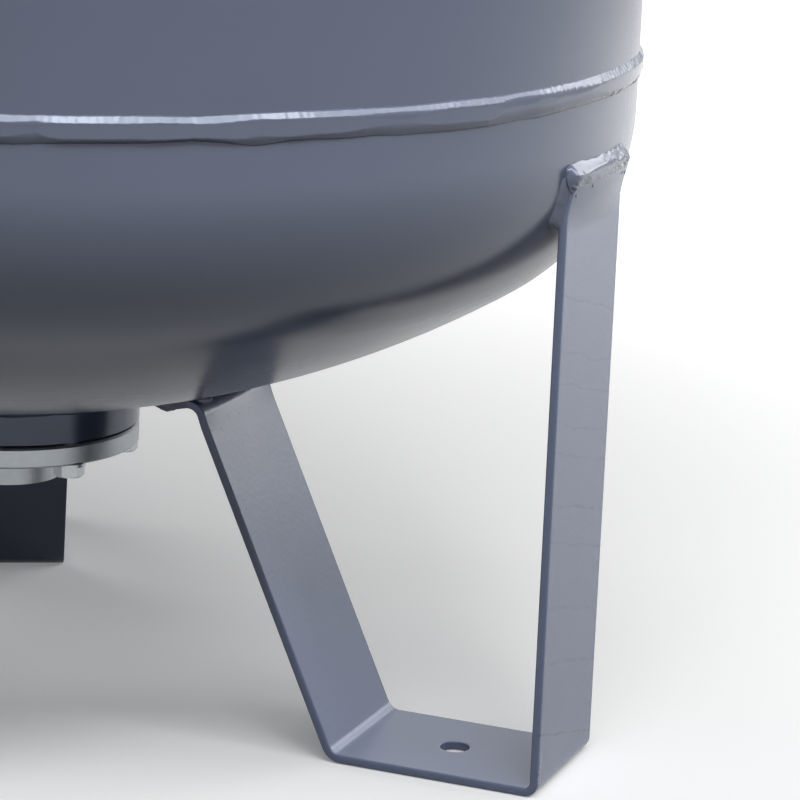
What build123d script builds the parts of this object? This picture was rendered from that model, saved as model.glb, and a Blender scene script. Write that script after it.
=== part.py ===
from build123d import *
from math import acos, asin, atan2, cos, degrees, radians, sin, sqrt, tan
import os

# A vertical pressure tank: a welded steel vessel on three legs bent from flat bar. A rubber bladder hangs
# inside it from a bolted water connection below, and gas is charged through a valve on top.
# Lengths are millimetres and angles degrees. The origin is on the tank's axis at floor level, +Z is up, and
# +X runs out through the first leg.

# Vessel wall: a rolled shell between two basket-handle heads
tank_diameter = 600.0
wall = 3.0
shell_length = 850.0
lower_seam_height = 326.0
head_skirt = 23.0
crown_radius = 480.0
knuckle_radius = 92.4

# Butt welds: a V groove and the bead that stands on it
groove_gap = 2.0
groove_angle = 30.0
girth_bead_width = 12.0
girth_bead_height = 2.2
shell_bead_width = 9.0
shell_bead_height = 1.6
shell_seam_azimuth = 150.0

# Legs: one flat bar each, bent four times
leg_count = 3
bar_width = 75.0
bar_thickness = 4.0
leg_inset = 2.5
base_length = 105.0
leg_to_ring_gap = 23.5
heel_bend_radius = 6.5
toe_bend_radius = 3.0
outer_tab_bend_radius = 15.0
inner_tab_bend_radius = 5.0
outer_tab_lean = 14.0
outer_tab_length = 24.3
inner_tab_length = 16.0
anchor_hole_diameter = 14.0
heel_to_anchor_hole = 50.0

# Leg welds: a fillet round the end and both sides of each tab. A flare is how far a face leans out from
# square, and a length is measured back from the tab's end.
fit_up_gap = 0.3
leg_weld_leg = 8.5
leg_weld_side_flare = 36.0
leg_weld_end_flare = 52.0
leg_weld_rounding = 4.0
leg_weld_root = 6.0
outer_weld_length = 23.5
inner_weld_length = 23.0

# Bottom opening: a thick ring welded to the head, and the bolted connection that clamps the bladder's rim
ring_diameter = 130.0
ring_bore = 80.0
ring_height = 14.0
ring_weld_leg = 5.0
rim_recess_depth = 3.5
connection_thickness = 10.0
connection_hub_diameter = 54.0
connection_hub_length = 18.0
connection_bore = 39.0
connection_edge_chamfer = 1.0
bolt_count = 6
bolt_circle_diameter = 114.0
bolt_diameter = 8.0
bolt_clearance = 0.5
bolt_grip_in_ring = 8.0
bolt_head_across_flats = 13.0
bolt_head_height = 5.3
washer_diameter = 16.0
washer_thickness = 1.6
thread_gap = 0.1

# Bladder
bladder_thickness = 3.0
bladder_rim_width = 11.0
bladder_rim_thickness = 5.0
bladder_neck_gap = 1.0
bladder_neck_flare = 16.0
bladder_gap = 30.0
bladder_top_gap = 90.0

# Charging valve on the top head
boss_diameter = 34.0
boss_rise = 14.0
boss_drop = 6.0
boss_weld_leg = 4.5
valve_shank_diameter = 18.6
valve_shank_length = 13.0
valve_seal_diameter = 25.0
valve_seal_thickness = 1.5
valve_hex_across_flats = 24.0
valve_hex_height = 8.0
valve_hex_chamfer = 1.0
valve_stem_diameter = 7.7
valve_stem_height = 20.0
valve_stem_bore = 5.2
core_length = 12.0
core_depth = 0.6
core_chamber_diameter = 3.8
core_chamber_depth = 8.0
core_guide_diameter = 1.8
pin_diameter = 1.4
pin_depth = 0.4
pin_collar_diameter = 3.4
pin_collar_thickness = 0.8
pin_collar_drop = 1.2
pin_disc_diameter = 4.0
pin_disc_thickness = 1.5
pin_seat_gap = 0.05
spring_wire = 0.4
spring_turns = 5
spring_end_gap = 0.05
cap_wall = 1.4
cap_stem_gap = 0.3
cap_skirt_length = 11.0
cap_top_thickness = 1.8
cap_seal_thickness = 1.0
cap_rib_count = 16
cap_rib_depth = 0.5

# Places that follow from those sizes
tank_radius = tank_diameter / 2
upper_seam_height = lower_seam_height + shell_length
knuckle_ring_radius = tank_radius - knuckle_radius
crown_drop = sqrt((crown_radius - knuckle_radius) ** 2 - knuckle_ring_radius ** 2)
knuckle_sweep = degrees(acos(knuckle_ring_radius / (crown_radius - knuckle_radius)))
bottom_knuckle_height = lower_seam_height - head_skirt
bottom_crown_centre = bottom_knuckle_height + crown_drop
bottom_height = bottom_crown_centre - crown_radius
top_knuckle_height = upper_seam_height + head_skirt
top_crown_centre = top_knuckle_height - crown_drop
top_height = top_crown_centre + crown_radius
groove_half = groove_gap / 2
groove_spread = wall * tan(radians(groove_angle))
ring_bottom = bottom_height - ring_height
rim_top = ring_bottom + rim_recess_depth
rim_bottom = rim_top - bladder_rim_thickness
connection_bottom = rim_bottom - connection_thickness
neck_radius = ring_bore / 2 - bladder_neck_gap
rim_radius = neck_radius + bladder_rim_width
boss_top = top_height + boss_rise
hex_bottom = boss_top + valve_seal_thickness
hex_top = hex_bottom + valve_hex_height
stem_top = hex_top + valve_stem_height
core_top = stem_top - core_depth
core_bottom = core_top - core_length
spring_floor = core_top - core_chamber_depth
pin_top = stem_top - pin_depth
collar_bottom = pin_top - pin_collar_drop - pin_collar_thickness


def section(*lines):
    """A face in the XZ plane inside lines that follow each other end to end."""
    return make_face([Plane.XZ * line for line in lines])


def turned(*lines):
    """The body that a closed section makes when it turns once about the tank's axis."""
    return revolve(section(*lines), Axis.Z)


def tube(outer_radius, inner_radius, low, high):
    """A plain ring about the tank's axis between two heights."""
    return turned(Polyline((inner_radius, low), (outer_radius, low), (outer_radius, high),
                           (inner_radius, high), close=True))


def rod(radius, low, high):
    """A plain round rod on the tank's axis between two heights."""
    return tube(radius, 0, low, high)


def crown_height(radius, side, inset=0.0):
    """Height of a head's crown at a radius; side is 1 on top and -1 below, inset goes into the wall."""
    centre = top_crown_centre if side > 0 else bottom_crown_centre
    return centre + side * sqrt((crown_radius - inset) ** 2 - radius ** 2)


def dome(side, inset=0.0, opening_radius=0.0, shift=0.0):
    """Knuckle and crown arcs of a head's form, from the cylinder to an opening about the axis. side is 1 on
    top and -1 below, inset moves the form into the wall, and shift moves it up."""
    knuckle_height = top_knuckle_height if side > 0 else bottom_knuckle_height
    crown_centre = top_crown_centre if side > 0 else bottom_crown_centre
    end = degrees(acos(opening_radius / (crown_radius - inset)))
    return (
        CenterArc((knuckle_ring_radius, knuckle_height + shift), knuckle_radius - inset, 0, side * knuckle_sweep),
        CenterArc((0, crown_centre + shift), crown_radius - inset, side * knuckle_sweep,
                  side * (end - knuckle_sweep)),
    )


def head(side, opening_radius):
    """A basket-handle head: skirt, knuckle and crown of one wall thickness, with a round opening."""
    seam = upper_seam_height if side > 0 else lower_seam_height
    knuckle_height = top_knuckle_height if side > 0 else bottom_knuckle_height
    inner_rim = (tank_radius - wall, seam + side * groove_half)
    outer_rim = (tank_radius, seam + side * (groove_half + groove_spread))
    return turned(
        Line(inner_rim, outer_rim),
        Line(outer_rim, (tank_radius, knuckle_height)),
        *dome(side, 0, opening_radius),
        Line((opening_radius, crown_height(opening_radius, side)),
             (opening_radius, crown_height(opening_radius, side, wall))),
        *reversed(dome(side, wall, opening_radius)),
        Line((tank_radius - wall, knuckle_height), inner_rim),
    )


def bottom_form():
    """The bottom head's outer form as a solid lump, which trims whatever is welded to it."""
    return turned(
        Polyline((0, bottom_height), (0, lower_seam_height), (tank_radius, lower_seam_height),
                 (tank_radius, bottom_knuckle_height)),
        *dome(-1),
    )


def girth_weld(seam):
    """The weld that joins a head to the shell: a V root under a crowned bead."""
    half_bead = girth_bead_width / 2
    half_groove = groove_half + groove_spread
    return turned(
        Polyline((tank_radius, seam - half_bead), (tank_radius, seam - half_groove),
                 (tank_radius - wall, seam - groove_half), (tank_radius - wall, seam + groove_half),
                 (tank_radius, seam + half_groove), (tank_radius, seam + half_bead)),
        ThreePointArc((tank_radius, seam + half_bead), (tank_radius + girth_bead_height, seam),
                      (tank_radius, seam - half_bead)),
    )


def shell_and_seam():
    """The rolled shell, and the straight weld that closes it from end to end."""
    low = lower_seam_height + groove_half
    high = upper_seam_height - groove_half
    whole = turned(Polyline((tank_radius - wall, low), (tank_radius, low + groove_spread),
                            (tank_radius, high - groove_spread), (tank_radius - wall, high), close=True))
    turn = Rot(0, 0, shell_seam_azimuth)
    overrun = 1.0
    inner_half = groove_half - overrun * tan(radians(groove_angle))
    outer_half = groove_half + (wall + overrun) * tan(radians(groove_angle))
    groove = make_face(Polyline((tank_radius - wall - overrun, -inner_half),
                                (tank_radius + overrun, -outer_half),
                                (tank_radius + overrun, outer_half),
                                (tank_radius - wall - overrun, inner_half), close=True))
    slot = turn * Pos(0, 0, low) * extrude(groove, high - low)
    root = whole & slot
    shell = whole - slot
    half_bead = shell_bead_width / 2
    edge = sqrt(tank_radius ** 2 - half_bead ** 2)
    under = wall / 2
    crown = make_face([
        Polyline((edge, half_bead), (edge - under, half_bead), (edge - under, -half_bead), (edge, -half_bead)),
        ThreePointArc((edge, -half_bead), (tank_radius + shell_bead_height, 0), (edge, half_bead)),
    ])
    bead_low = lower_seam_height + girth_bead_width / 2
    bead_high = upper_seam_height - girth_bead_width / 2
    bead = turn * Pos(0, 0, bead_low) * extrude(crown, bead_high - bead_low)
    bead -= rod(tank_radius, bead_low - overrun, bead_high + overrun)
    return shell, root + bead


def meeting(point, heading, other_point, other_heading):
    """Where two straight lines in the XZ plane cross; headings are angles above +X."""
    u = (cos(radians(heading)), sin(radians(heading)))
    v = (cos(radians(other_heading)), sin(radians(other_heading)))
    gap = (other_point[0] - point[0], other_point[1] - point[1])
    along = (gap[0] * v[1] - gap[1] * v[0]) / (u[0] * v[1] - u[1] * v[0])
    return (point[0] + along * u[0], point[1] + along * u[1])


def step(point, heading, distance, aside=0.0):
    """A point further along a heading, and aside to its left."""
    c, s = cos(radians(heading)), sin(radians(heading))
    return (point[0] + distance * c - aside * s, point[1] + distance * s + aside * c)


def bent_bar(points, headings, inside_radii):
    """A flat bar's edge-on outline: points are the corners of its right-hand side, and its thickness lies to
    their left. Each bend keeps its inside radius, whichever way it turns."""
    left = [step(points[0], headings[0], 0, bar_thickness)]
    right_radii, left_radii = [], []
    for index, radius in enumerate(inside_radii):
        before, after = headings[index], headings[index + 1]
        left.append(meeting(step(points[index + 1], before, 0, bar_thickness), before,
                            step(points[index + 1], after, 0, bar_thickness), after))
        turns_left = after > before
        right_radii.append(radius + bar_thickness if turns_left else radius)
        left_radii.append(radius if turns_left else radius + bar_thickness)
    left.append(step(points[-1], headings[-1], 0, bar_thickness))
    return section(FilletPolyline(*points, radius=right_radii), Line(points[-1], left[-1]),
                   FilletPolyline(*reversed(left), radius=left_radii[::-1]), Line(left[0], points[0]))


def tab_weld(contact, heading, free_end, length, bar):
    """The fillet round three sides of a tab. contact is the point of the tab's welded face nearest the head,
    heading the way towards its free end, and free_end the distance along that from contact. The bead slopes
    from the tab's outer edges to the head, and runs a little way under the tab."""
    depth = 12.0
    plane = Plane(origin=(contact[0], 0, contact[1]),
                  x_dir=(cos(radians(heading)), 0, sin(radians(heading))),
                  z_dir=away_from_head(contact, heading))
    start = free_end - length
    side_spread = (bar_thickness + depth) * tan(radians(leg_weld_side_flare))
    end_spread = (bar_thickness + depth) * tan(radians(leg_weld_end_flare))
    upper = Pos(start + length / 2, 0, bar_thickness) * Rectangle(length, bar_width)
    lower = Pos(start + (length + end_spread) / 2, 0, -depth) * Rectangle(length + end_spread,
                                                                        bar_width + 2 * side_spread)
    blank = loft([upper.face(), lower.face()], ruled=True)
    level = [*blank.faces().sort_by(Axis.Z)[0].edges(), *blank.faces().sort_by(Axis.Z)[-1].edges()]
    blank = fillet([edge for edge in blank.edges() if edge not in level], leg_weld_rounding)
    open_length = length - leg_weld_root
    open_width = bar_width - 2 * leg_weld_root
    overrun = 1.0
    middle = Box(open_length + overrun, open_width, 2 * depth + bar_thickness + 2 * overrun)
    blank -= Pos(start + (open_length - overrun) / 2, 0, 0) * middle
    return plane * blank - bottom_form() - bar


def away_from_head(contact, heading):
    """The direction square to a tab's heading that points out of the tank."""
    square = (-sin(radians(heading)), cos(radians(heading)))
    outwards = square[0] * contact[0] + square[1] * (contact[1] - bottom_crown_centre)
    flip = 1 if outwards > 0 else -1
    return (flip * square[0], 0, flip * square[1])


def leg_layout():
    """Corners, headings and bend radii of a leg's outer side, and where its two tabs come nearest the head."""
    outer_face = tank_radius - leg_inset
    toe = (outer_face, 0)
    heel = (outer_face - base_length, 0)

    # The inner tab lies along the crown's tangent, clear of the ring, and the leaning part runs to its corner
    inner_radius = ring_diameter / 2 + ring_weld_leg + leg_to_ring_gap + leg_weld_leg + inner_tab_length / 2
    inner_tilt = degrees(asin(inner_radius / crown_radius))
    inner_contact = step((inner_radius, crown_height(inner_radius, -1)), inner_tilt, 0, -fit_up_gap)
    inner_corner = step(inner_contact, inner_tilt, inner_tab_length / 2, -bar_thickness)
    inner_end = step(inner_corner, inner_tilt, -inner_tab_length)
    slope = degrees(atan2(heel[1] - inner_corner[1], heel[0] - inner_corner[0]))

    # The upright part is bent outwards to lie along the knuckle
    upright = 90 - outer_tab_lean
    outer_contact = (knuckle_ring_radius + knuckle_radius * cos(radians(outer_tab_lean)),
                     bottom_knuckle_height - knuckle_radius * sin(radians(outer_tab_lean)))
    outer_contact = step(outer_contact, upright, 0, -fit_up_gap)
    outer_line = step(outer_contact, upright, 0, -bar_thickness)
    outer_corner = meeting(toe, 90, outer_line, upright)
    outer_end = step(outer_corner, upright, outer_tab_length)

    points = [inner_end, inner_corner, heel, toe, outer_corner, outer_end]
    headings = [inner_tilt, slope, 0, 90, upright]
    radii = [inner_tab_bend_radius, heel_bend_radius, toe_bend_radius, outer_tab_bend_radius]
    return points, headings, radii, inner_contact, outer_contact


def distance(a, b):
    return sqrt((a[0] - b[0]) ** 2 + (a[1] - b[1]) ** 2)


def anchor_hole_radius():
    """The hole is set off from the corner where the leaning part meets the base."""
    points, headings, radii, inner_contact, outer_contact = leg_layout()
    return points[2][0] + heel_to_anchor_hole


def leg():
    """One leg on +X: the bent bar, the weld on its upright tab and the weld on its inner tab."""
    points, headings, radii, inner_contact, outer_contact = leg_layout()
    bar = extrude(bent_bar(points, headings, radii), bar_width / 2, both=True)
    bar -= Pos(anchor_hole_radius(), 0, bar_thickness / 2) * Cylinder(anchor_hole_diameter / 2, 3 * bar_thickness)

    inner_free = distance(inner_contact, step(points[0], headings[0], 0, bar_thickness))
    inner_weld = tab_weld(inner_contact, headings[0] + 180, inner_free, inner_weld_length, bar)
    outer_free = distance(outer_contact, step(points[-1], headings[-1], 0, bar_thickness))
    outer_weld = tab_weld(outer_contact, headings[-1], outer_free, outer_weld_length, bar)
    return bar, outer_weld, inner_weld


def flange_ring():
    """The thick ring under the bottom head, shaped to the crown, recessed for the bladder's rim and tapped."""
    outer, bore = ring_diameter / 2, ring_bore / 2
    recess = rim_radius + bladder_neck_gap
    outer_top, bore_top = crown_height(outer, -1), crown_height(bore, -1)
    start = -degrees(acos(outer / crown_radius))
    end = -degrees(acos(bore / crown_radius))
    ring = turned(
        Polyline((bore, bore_top), (bore, rim_top), (recess, rim_top), (recess, ring_bottom),
                 (outer, ring_bottom), (outer, outer_top)),
        CenterArc((0, bottom_crown_centre), crown_radius, start, end - start),
    )
    tapped = Cylinder(bolt_diameter / 2 + thread_gap, 2 * (bolt_grip_in_ring + 1))
    return ring - around_bolts(Pos(0, 0, ring_bottom) * tapped)


def flange_ring_weld():
    """The fillet round the outside of the ring, against the crown."""
    outer = ring_diameter / 2
    toe = outer + ring_weld_leg
    outer_top, toe_top = crown_height(outer, -1), crown_height(toe, -1)
    low = outer_top - ring_weld_leg
    start = -degrees(acos(toe / crown_radius))
    end = -degrees(acos(outer / crown_radius))
    bulge = 0.62
    middle = (outer + bulge * ring_weld_leg, outer_top - bulge * ring_weld_leg)
    return turned(
        CenterArc((0, bottom_crown_centre), crown_radius, start, end - start),
        Line((outer, outer_top), (outer, low)),
        ThreePointArc((outer, low), middle, (toe, toe_top)),
    )


def around_bolts(piece):
    """One copy of a piece on the axis for each bolt of the bottom flange."""
    return [Rot(0, 0, (index + 0.5) * 360 / bolt_count) * Pos(bolt_circle_diameter / 2, 0, 0) * piece
            for index in range(bolt_count)]


def connection_flange():
    """The bolted flange below, with a hub whose bore takes the water pipe."""
    hub_bottom = connection_bottom - connection_hub_length
    plate = tube(ring_diameter / 2, connection_bore / 2, connection_bottom, rim_bottom)
    plate = chamfer(plate.edges().filter_by(GeomType.CIRCLE).sort_by(SortBy.RADIUS)[-2:],
                    connection_edge_chamfer)
    hub = tube(connection_hub_diameter / 2, connection_bore / 2, hub_bottom, connection_bottom)
    holes = around_bolts(Pos(0, 0, connection_bottom)
                         * Cylinder(bolt_diameter / 2 + bolt_clearance, 3 * connection_thickness))
    return plate + hub - holes


def hexagon(across_flats, low, high):
    """A hexagonal prism on the axis."""
    corner_radius = across_flats / 2 / cos(radians(30))
    return Pos(0, 0, low) * extrude(RegularPolygon(corner_radius, 6), high - low)


def flange_bolts():
    """Hexagon-head bolts, each one body with its shank, as a group."""
    head_top = connection_bottom - washer_thickness
    head = hexagon(bolt_head_across_flats, head_top - bolt_head_height, head_top)
    rounding = rod(bolt_head_across_flats / 2 + bolt_head_height / 2, head_top - bolt_head_height, head_top)
    rounding = chamfer(rounding.edges().sort_by(Axis.Z)[0], bolt_head_height / 2)
    bolt = (head & rounding) + rod(bolt_diameter / 2, head_top, ring_bottom + bolt_grip_in_ring)
    return Compound(children=around_bolts(bolt))


def flange_washers():
    """A plain washer under each bolt head, as a group."""
    washer = tube(washer_diameter / 2, bolt_diameter / 2 + bolt_clearance,
                  connection_bottom - washer_thickness, connection_bottom)
    return Compound(children=around_bolts(washer))


def bladder():
    """A rubber bag: a flat rim clamped below, a neck through the ring, and a body with two domed ends."""
    inset = wall + bladder_gap
    inner = inset + bladder_thickness
    drop = bladder_gap - bladder_top_gap
    inner_neck = neck_radius - bladder_thickness
    profile = section(
        Polyline((neck_radius, crown_height(neck_radius, -1, inset)), (neck_radius, rim_top), (rim_radius, rim_top),
                 (rim_radius, rim_bottom), (inner_neck, rim_bottom),
                 (inner_neck, crown_height(inner_neck, -1, inner))),
        *reversed(dome(-1, inner, inner_neck)),
        Line((tank_radius - inner, bottom_knuckle_height), (tank_radius - inner, top_knuckle_height + drop)),
        *dome(1, inner, 0, drop),
        Line((0, top_height - inner + drop), (0, top_height - inset + drop)),
        *reversed(dome(1, inset, 0, drop)),
        Line((tank_radius - inset, top_knuckle_height + drop), (tank_radius - inset, bottom_knuckle_height)),
        *dome(-1, inset, neck_radius),
    )
    profile = fillet(nearest_vertex(profile, neck_radius, crown_height(neck_radius, -1, inset)),
                     bladder_neck_flare)
    profile = fillet(nearest_vertex(profile, inner_neck, crown_height(inner_neck, -1, inner)),
                     bladder_neck_flare + bladder_thickness)
    return revolve(profile, Axis.Z)


def nearest_vertex(shape, x, z):
    """The vertex of a shape in the XZ plane that is nearest a point."""
    return min(shape.vertices(), key=lambda vertex: distance((vertex.X, vertex.Z), (x, z)))


def valve_boss():
    """A short threaded collar set through the top head."""
    inside = crown_height(boss_diameter / 2, 1, wall) - boss_drop
    return tube(boss_diameter / 2, valve_shank_diameter / 2 + thread_gap, inside, boss_top)


def valve_boss_weld():
    """The fillet round the collar, on the crown."""
    outer = boss_diameter / 2
    toe = outer + boss_weld_leg
    outer_top, toe_top = crown_height(outer, 1), crown_height(toe, 1)
    start, end = degrees(acos(toe / crown_radius)), degrees(acos(outer / crown_radius))
    bulge = 0.62
    middle = (outer + bulge * boss_weld_leg, outer_top + bulge * boss_weld_leg)
    return turned(
        CenterArc((0, top_crown_centre), crown_radius, start, end - start),
        Line((outer, outer_top), (outer, outer_top + boss_weld_leg)),
        ThreePointArc((outer, outer_top + boss_weld_leg), middle, (toe, toe_top)),
    )


def valve_body():
    """Shank, hexagon and stem turned from one bar, bored through for the valve core."""
    shank = rod(valve_shank_diameter / 2, boss_top - valve_shank_length, hex_bottom)
    nut = hexagon(valve_hex_across_flats, hex_bottom, hex_top)
    dome = rod(valve_hex_across_flats / 2 + valve_hex_chamfer, hex_bottom, hex_top)
    dome = chamfer(dome.edges().sort_by(Axis.Z)[-1], valve_hex_chamfer)
    stem = rod(valve_stem_diameter / 2, hex_top, stem_top)
    bore = rod(valve_stem_bore / 2, boss_top - 2 * valve_shank_length, stem_top + valve_hex_height)
    return shank + (nut & dome) + stem - bore


def valve_body_seal():
    """A flat ring between the hexagon and the collar."""
    return tube(valve_seal_diameter / 2, valve_shank_diameter / 2 + thread_gap, boss_top, hex_bottom)


def valve_core():
    """The insert in the stem: a chamber for the spring above, and a guide for the pin below."""
    outer = valve_stem_bore / 2 - thread_gap
    return turned(Polyline(
        (core_guide_diameter / 2, core_bottom), (outer, core_bottom), (outer, core_top),
        (core_chamber_diameter / 2, core_top), (core_chamber_diameter / 2, spring_floor),
        (core_guide_diameter / 2, spring_floor), close=True))


def valve_pin():
    """The pin that opens the valve when it is pressed: a collar for the spring above, a seal disc below."""
    disc_top = core_bottom - pin_seat_gap
    radius = pin_diameter / 2
    collar = pin_collar_diameter / 2
    disc = pin_disc_diameter / 2
    return turned(Polyline(
        (0, disc_top - pin_disc_thickness), (disc, disc_top - pin_disc_thickness), (disc, disc_top),
        (radius, disc_top), (radius, collar_bottom), (collar, collar_bottom),
        (collar, collar_bottom + pin_collar_thickness), (radius, collar_bottom + pin_collar_thickness),
        (radius, pin_top), (0, pin_top), close=True))


def valve_spring():
    """The small coil that pushes the pin's collar up, of square wire, between the core's floor and the collar."""
    low = spring_floor + spring_end_gap + spring_wire / 2
    height = collar_bottom - spring_end_gap - spring_wire / 2 - low
    radius = (pin_diameter + core_chamber_diameter) / 4
    path = Pos(0, 0, low) * Helix(height / spring_turns, height, radius)
    wire = Plane(path @ 0, z_dir=path % 0, x_dir=(1, 0, 0)) * Rectangle(spring_wire, spring_wire)
    return sweep(wire, path=path, is_frenet=True)


def valve_cap():
    """The ribbed cap that screws over the stem."""
    bore = valve_stem_diameter / 2 + cap_stem_gap
    outer = bore + cap_wall
    inside_top = stem_top + cap_seal_thickness
    low = stem_top - cap_skirt_length
    cap = rod(outer, low, inside_top + cap_top_thickness)
    cap = chamfer(cap.edges().filter_by(GeomType.CIRCLE).sort_by(Axis.Z)[-1], cap_top_thickness / 3)
    cap -= rod(bore, low - 1, inside_top)
    groove = Cylinder(cap_rib_depth, 2 * cap_skirt_length)
    return cap - [Rot(0, 0, index * 360 / cap_rib_count) * Pos(outer, 0, low) * groove
                  for index in range(cap_rib_count)]


def valve_cap_seal():
    """The rubber disc inside the cap, which lies on the stem's end."""
    return rod(valve_stem_diameter / 2, stem_top, stem_top + cap_seal_thickness)


def build():
    """Every piece by its name."""
    pieces = {}
    pieces["shell"], pieces["shell_seam_weld"] = shell_and_seam()
    pieces["bottom_head"] = head(-1, ring_bore / 2)
    pieces["top_head"] = head(1, boss_diameter / 2 + thread_gap)
    pieces["lower_girth_weld"] = girth_weld(lower_seam_height)
    pieces["upper_girth_weld"] = girth_weld(upper_seam_height)
    leg_pieces = leg()
    for index in range(leg_count):
        turn = Rot(0, 0, index * 360 / leg_count)
        for suffix, piece in zip(("", "_outer_weld", "_inner_weld"), leg_pieces):
            pieces[f"leg_{index + 1}{suffix}"] = turn * piece
    pieces["flange_ring"] = flange_ring()
    pieces["flange_ring_weld"] = flange_ring_weld()
    pieces["connection_flange"] = connection_flange()
    pieces["flange_bolts"] = flange_bolts()
    pieces["flange_washers"] = flange_washers()
    pieces["bladder"] = bladder()
    pieces["valve_boss"] = valve_boss()
    pieces["valve_boss_weld"] = valve_boss_weld()
    pieces["valve_body"] = valve_body()
    pieces["valve_body_seal"] = valve_body_seal()
    pieces["valve_core"] = valve_core()
    pieces["valve_pin"] = valve_pin()
    pieces["valve_spring"] = valve_spring()
    pieces["valve_cap"] = valve_cap()
    pieces["valve_cap_seal"] = valve_cap_seal()
    return pieces


os.makedirs("parts", exist_ok=True)
for name, piece in build().items():
    export_step(piece, f"parts/{name}.step")
print("anchor hole circle", 2 * anchor_hole_radius(), "bottom", bottom_height, "top", top_height)
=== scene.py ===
import math

import bpy
import numpy as np
from mathutils import Matrix, Vector


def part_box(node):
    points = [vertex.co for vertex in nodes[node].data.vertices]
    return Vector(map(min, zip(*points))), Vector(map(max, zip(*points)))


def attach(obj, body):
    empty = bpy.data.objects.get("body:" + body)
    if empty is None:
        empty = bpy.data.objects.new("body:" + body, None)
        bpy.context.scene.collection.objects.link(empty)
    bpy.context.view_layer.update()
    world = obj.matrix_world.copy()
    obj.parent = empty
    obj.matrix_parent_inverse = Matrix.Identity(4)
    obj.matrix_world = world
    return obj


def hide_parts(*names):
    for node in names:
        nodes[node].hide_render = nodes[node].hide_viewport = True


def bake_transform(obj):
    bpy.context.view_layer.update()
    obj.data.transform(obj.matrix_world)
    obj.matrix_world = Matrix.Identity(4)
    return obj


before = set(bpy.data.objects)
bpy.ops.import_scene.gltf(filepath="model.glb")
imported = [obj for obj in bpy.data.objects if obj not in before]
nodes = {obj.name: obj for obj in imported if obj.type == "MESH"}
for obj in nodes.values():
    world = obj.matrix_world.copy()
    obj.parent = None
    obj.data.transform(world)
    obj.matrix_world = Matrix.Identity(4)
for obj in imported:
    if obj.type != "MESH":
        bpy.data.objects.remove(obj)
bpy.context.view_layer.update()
print("frame loaded:", len(nodes), "nodes")

# All shapes below are worked out in millimetres, and makePiece turns them into metres.
mm = 0.001


# Camera, fitted to the photograph's view of the lower seam, the head and the leg

cameraView = {
    "azimuth": 28.525,      # degrees round the tank from straight in front
    "distance": 1.5646,     # metres from the tank's axis
    "height": 0.5281,
    "pan": 7.084,           # turned to the right of the axis
    "tilt": 13.655,         # looking down
    "roll": 2.343,
    "lens": 146.36,         # mm, on a 36 mm sensor
}


def makeCamera(view):
    data = bpy.data.cameras.new("camera")
    data.lens = view["lens"]
    data.sensor_width = 36
    data.clip_start = 0.05
    data.clip_end = 50
    camera = bpy.data.objects.new("camera", data)
    bpy.context.scene.collection.objects.link(camera)
    turnedBy = math.radians(view["azimuth"])
    place = Matrix.Translation((view["distance"] * math.sin(turnedBy), -view["distance"] * math.cos(turnedBy),
                                view["height"]))
    turn = Matrix.Rotation(math.radians(view["azimuth"] - view["pan"]), 4, "Z")
    lean = Matrix.Rotation(math.radians(90 - view["tilt"]), 4, "X")
    roll = Matrix.Rotation(math.radians(view["roll"]), 4, "Z")
    camera.matrix_world = place @ turn @ lean @ roll
    bpy.context.scene.camera = camera


makeCamera(cameraView)
print("camera placed")


# Materials

# An sRGB hex value as a linear colour
def hexColour(text):
    parts = np.array([int(text[i:i + 2], 16) for i in (1, 3, 5)]) / 255
    linear = np.where(parts <= 0.04045, parts / 12.92, ((parts + 0.055) / 1.055) ** 2.4)
    return (*linear.tolist(), 1.0)


# Adds a node and gives its properties and inputs, an input as a value or as the socket that feeds it
def addNode(tree, kind, settings=None):
    node = tree.nodes.new(kind)
    for key, value in (settings or {}).items():
        if isinstance(value, bpy.types.NodeSocket):
            tree.links.new(value, node.inputs[key])
        elif isinstance(key, str) and hasattr(node, key):
            setattr(node, key, value)
        else:
            node.inputs[key].default_value = value
    return node


def maths(tree, operation, *terms, clamp=False):
    settings = {"operation": operation, "use_clamp": clamp, **dict(enumerate(terms))}
    return addNode(tree, "ShaderNodeMath", settings).outputs[0]


def vectorMaths(tree, operation, *terms):
    node = addNode(tree, "ShaderNodeVectorMath", {"operation": operation, **dict(enumerate(terms))})
    return node.outputs["Value" if operation in ("LENGTH", "DISTANCE") else "Vector"]


def noise(tree, place, scale, detail):
    settings = {"Scale": scale, "Detail": detail, "Vector": place}
    return addNode(tree, "ShaderNodeTexNoise", settings).outputs["Fac"]


# Maps one range of values onto another
def mapped(tree, value, given=(0, 1), wanted=(0, 1), kind="LINEAR"):
    settings = {"interpolation_type": kind, "Value": value, "From Min": given[0], "From Max": given[1],
                "To Min": wanted[0], "To Max": wanted[1]}
    return addNode(tree, "ShaderNodeMapRange", settings).outputs["Result"]


def mixed(tree, share, first, second):
    return addNode(tree, "ShaderNodeMix", {"data_type": "RGBA", 0: share, 6: first, 7: second}).outputs[2]


# A relief of so many mm, on top of another one if that is given
def relief(tree, height, depth, under=None):
    settings = {"Strength": 1.0, "Distance": depth * mm, "Height": height}
    if under:
        settings["Normal"] = under
    return addNode(tree, "ShaderNodeBump", settings).outputs["Normal"]


def newMaterial(name):
    material = bpy.data.materials.new(name)
    material.use_nodes = True
    tree = material.node_tree
    tree.nodes.clear()
    output = addNode(tree, "ShaderNodeOutputMaterial")
    return material, tree, output


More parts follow.
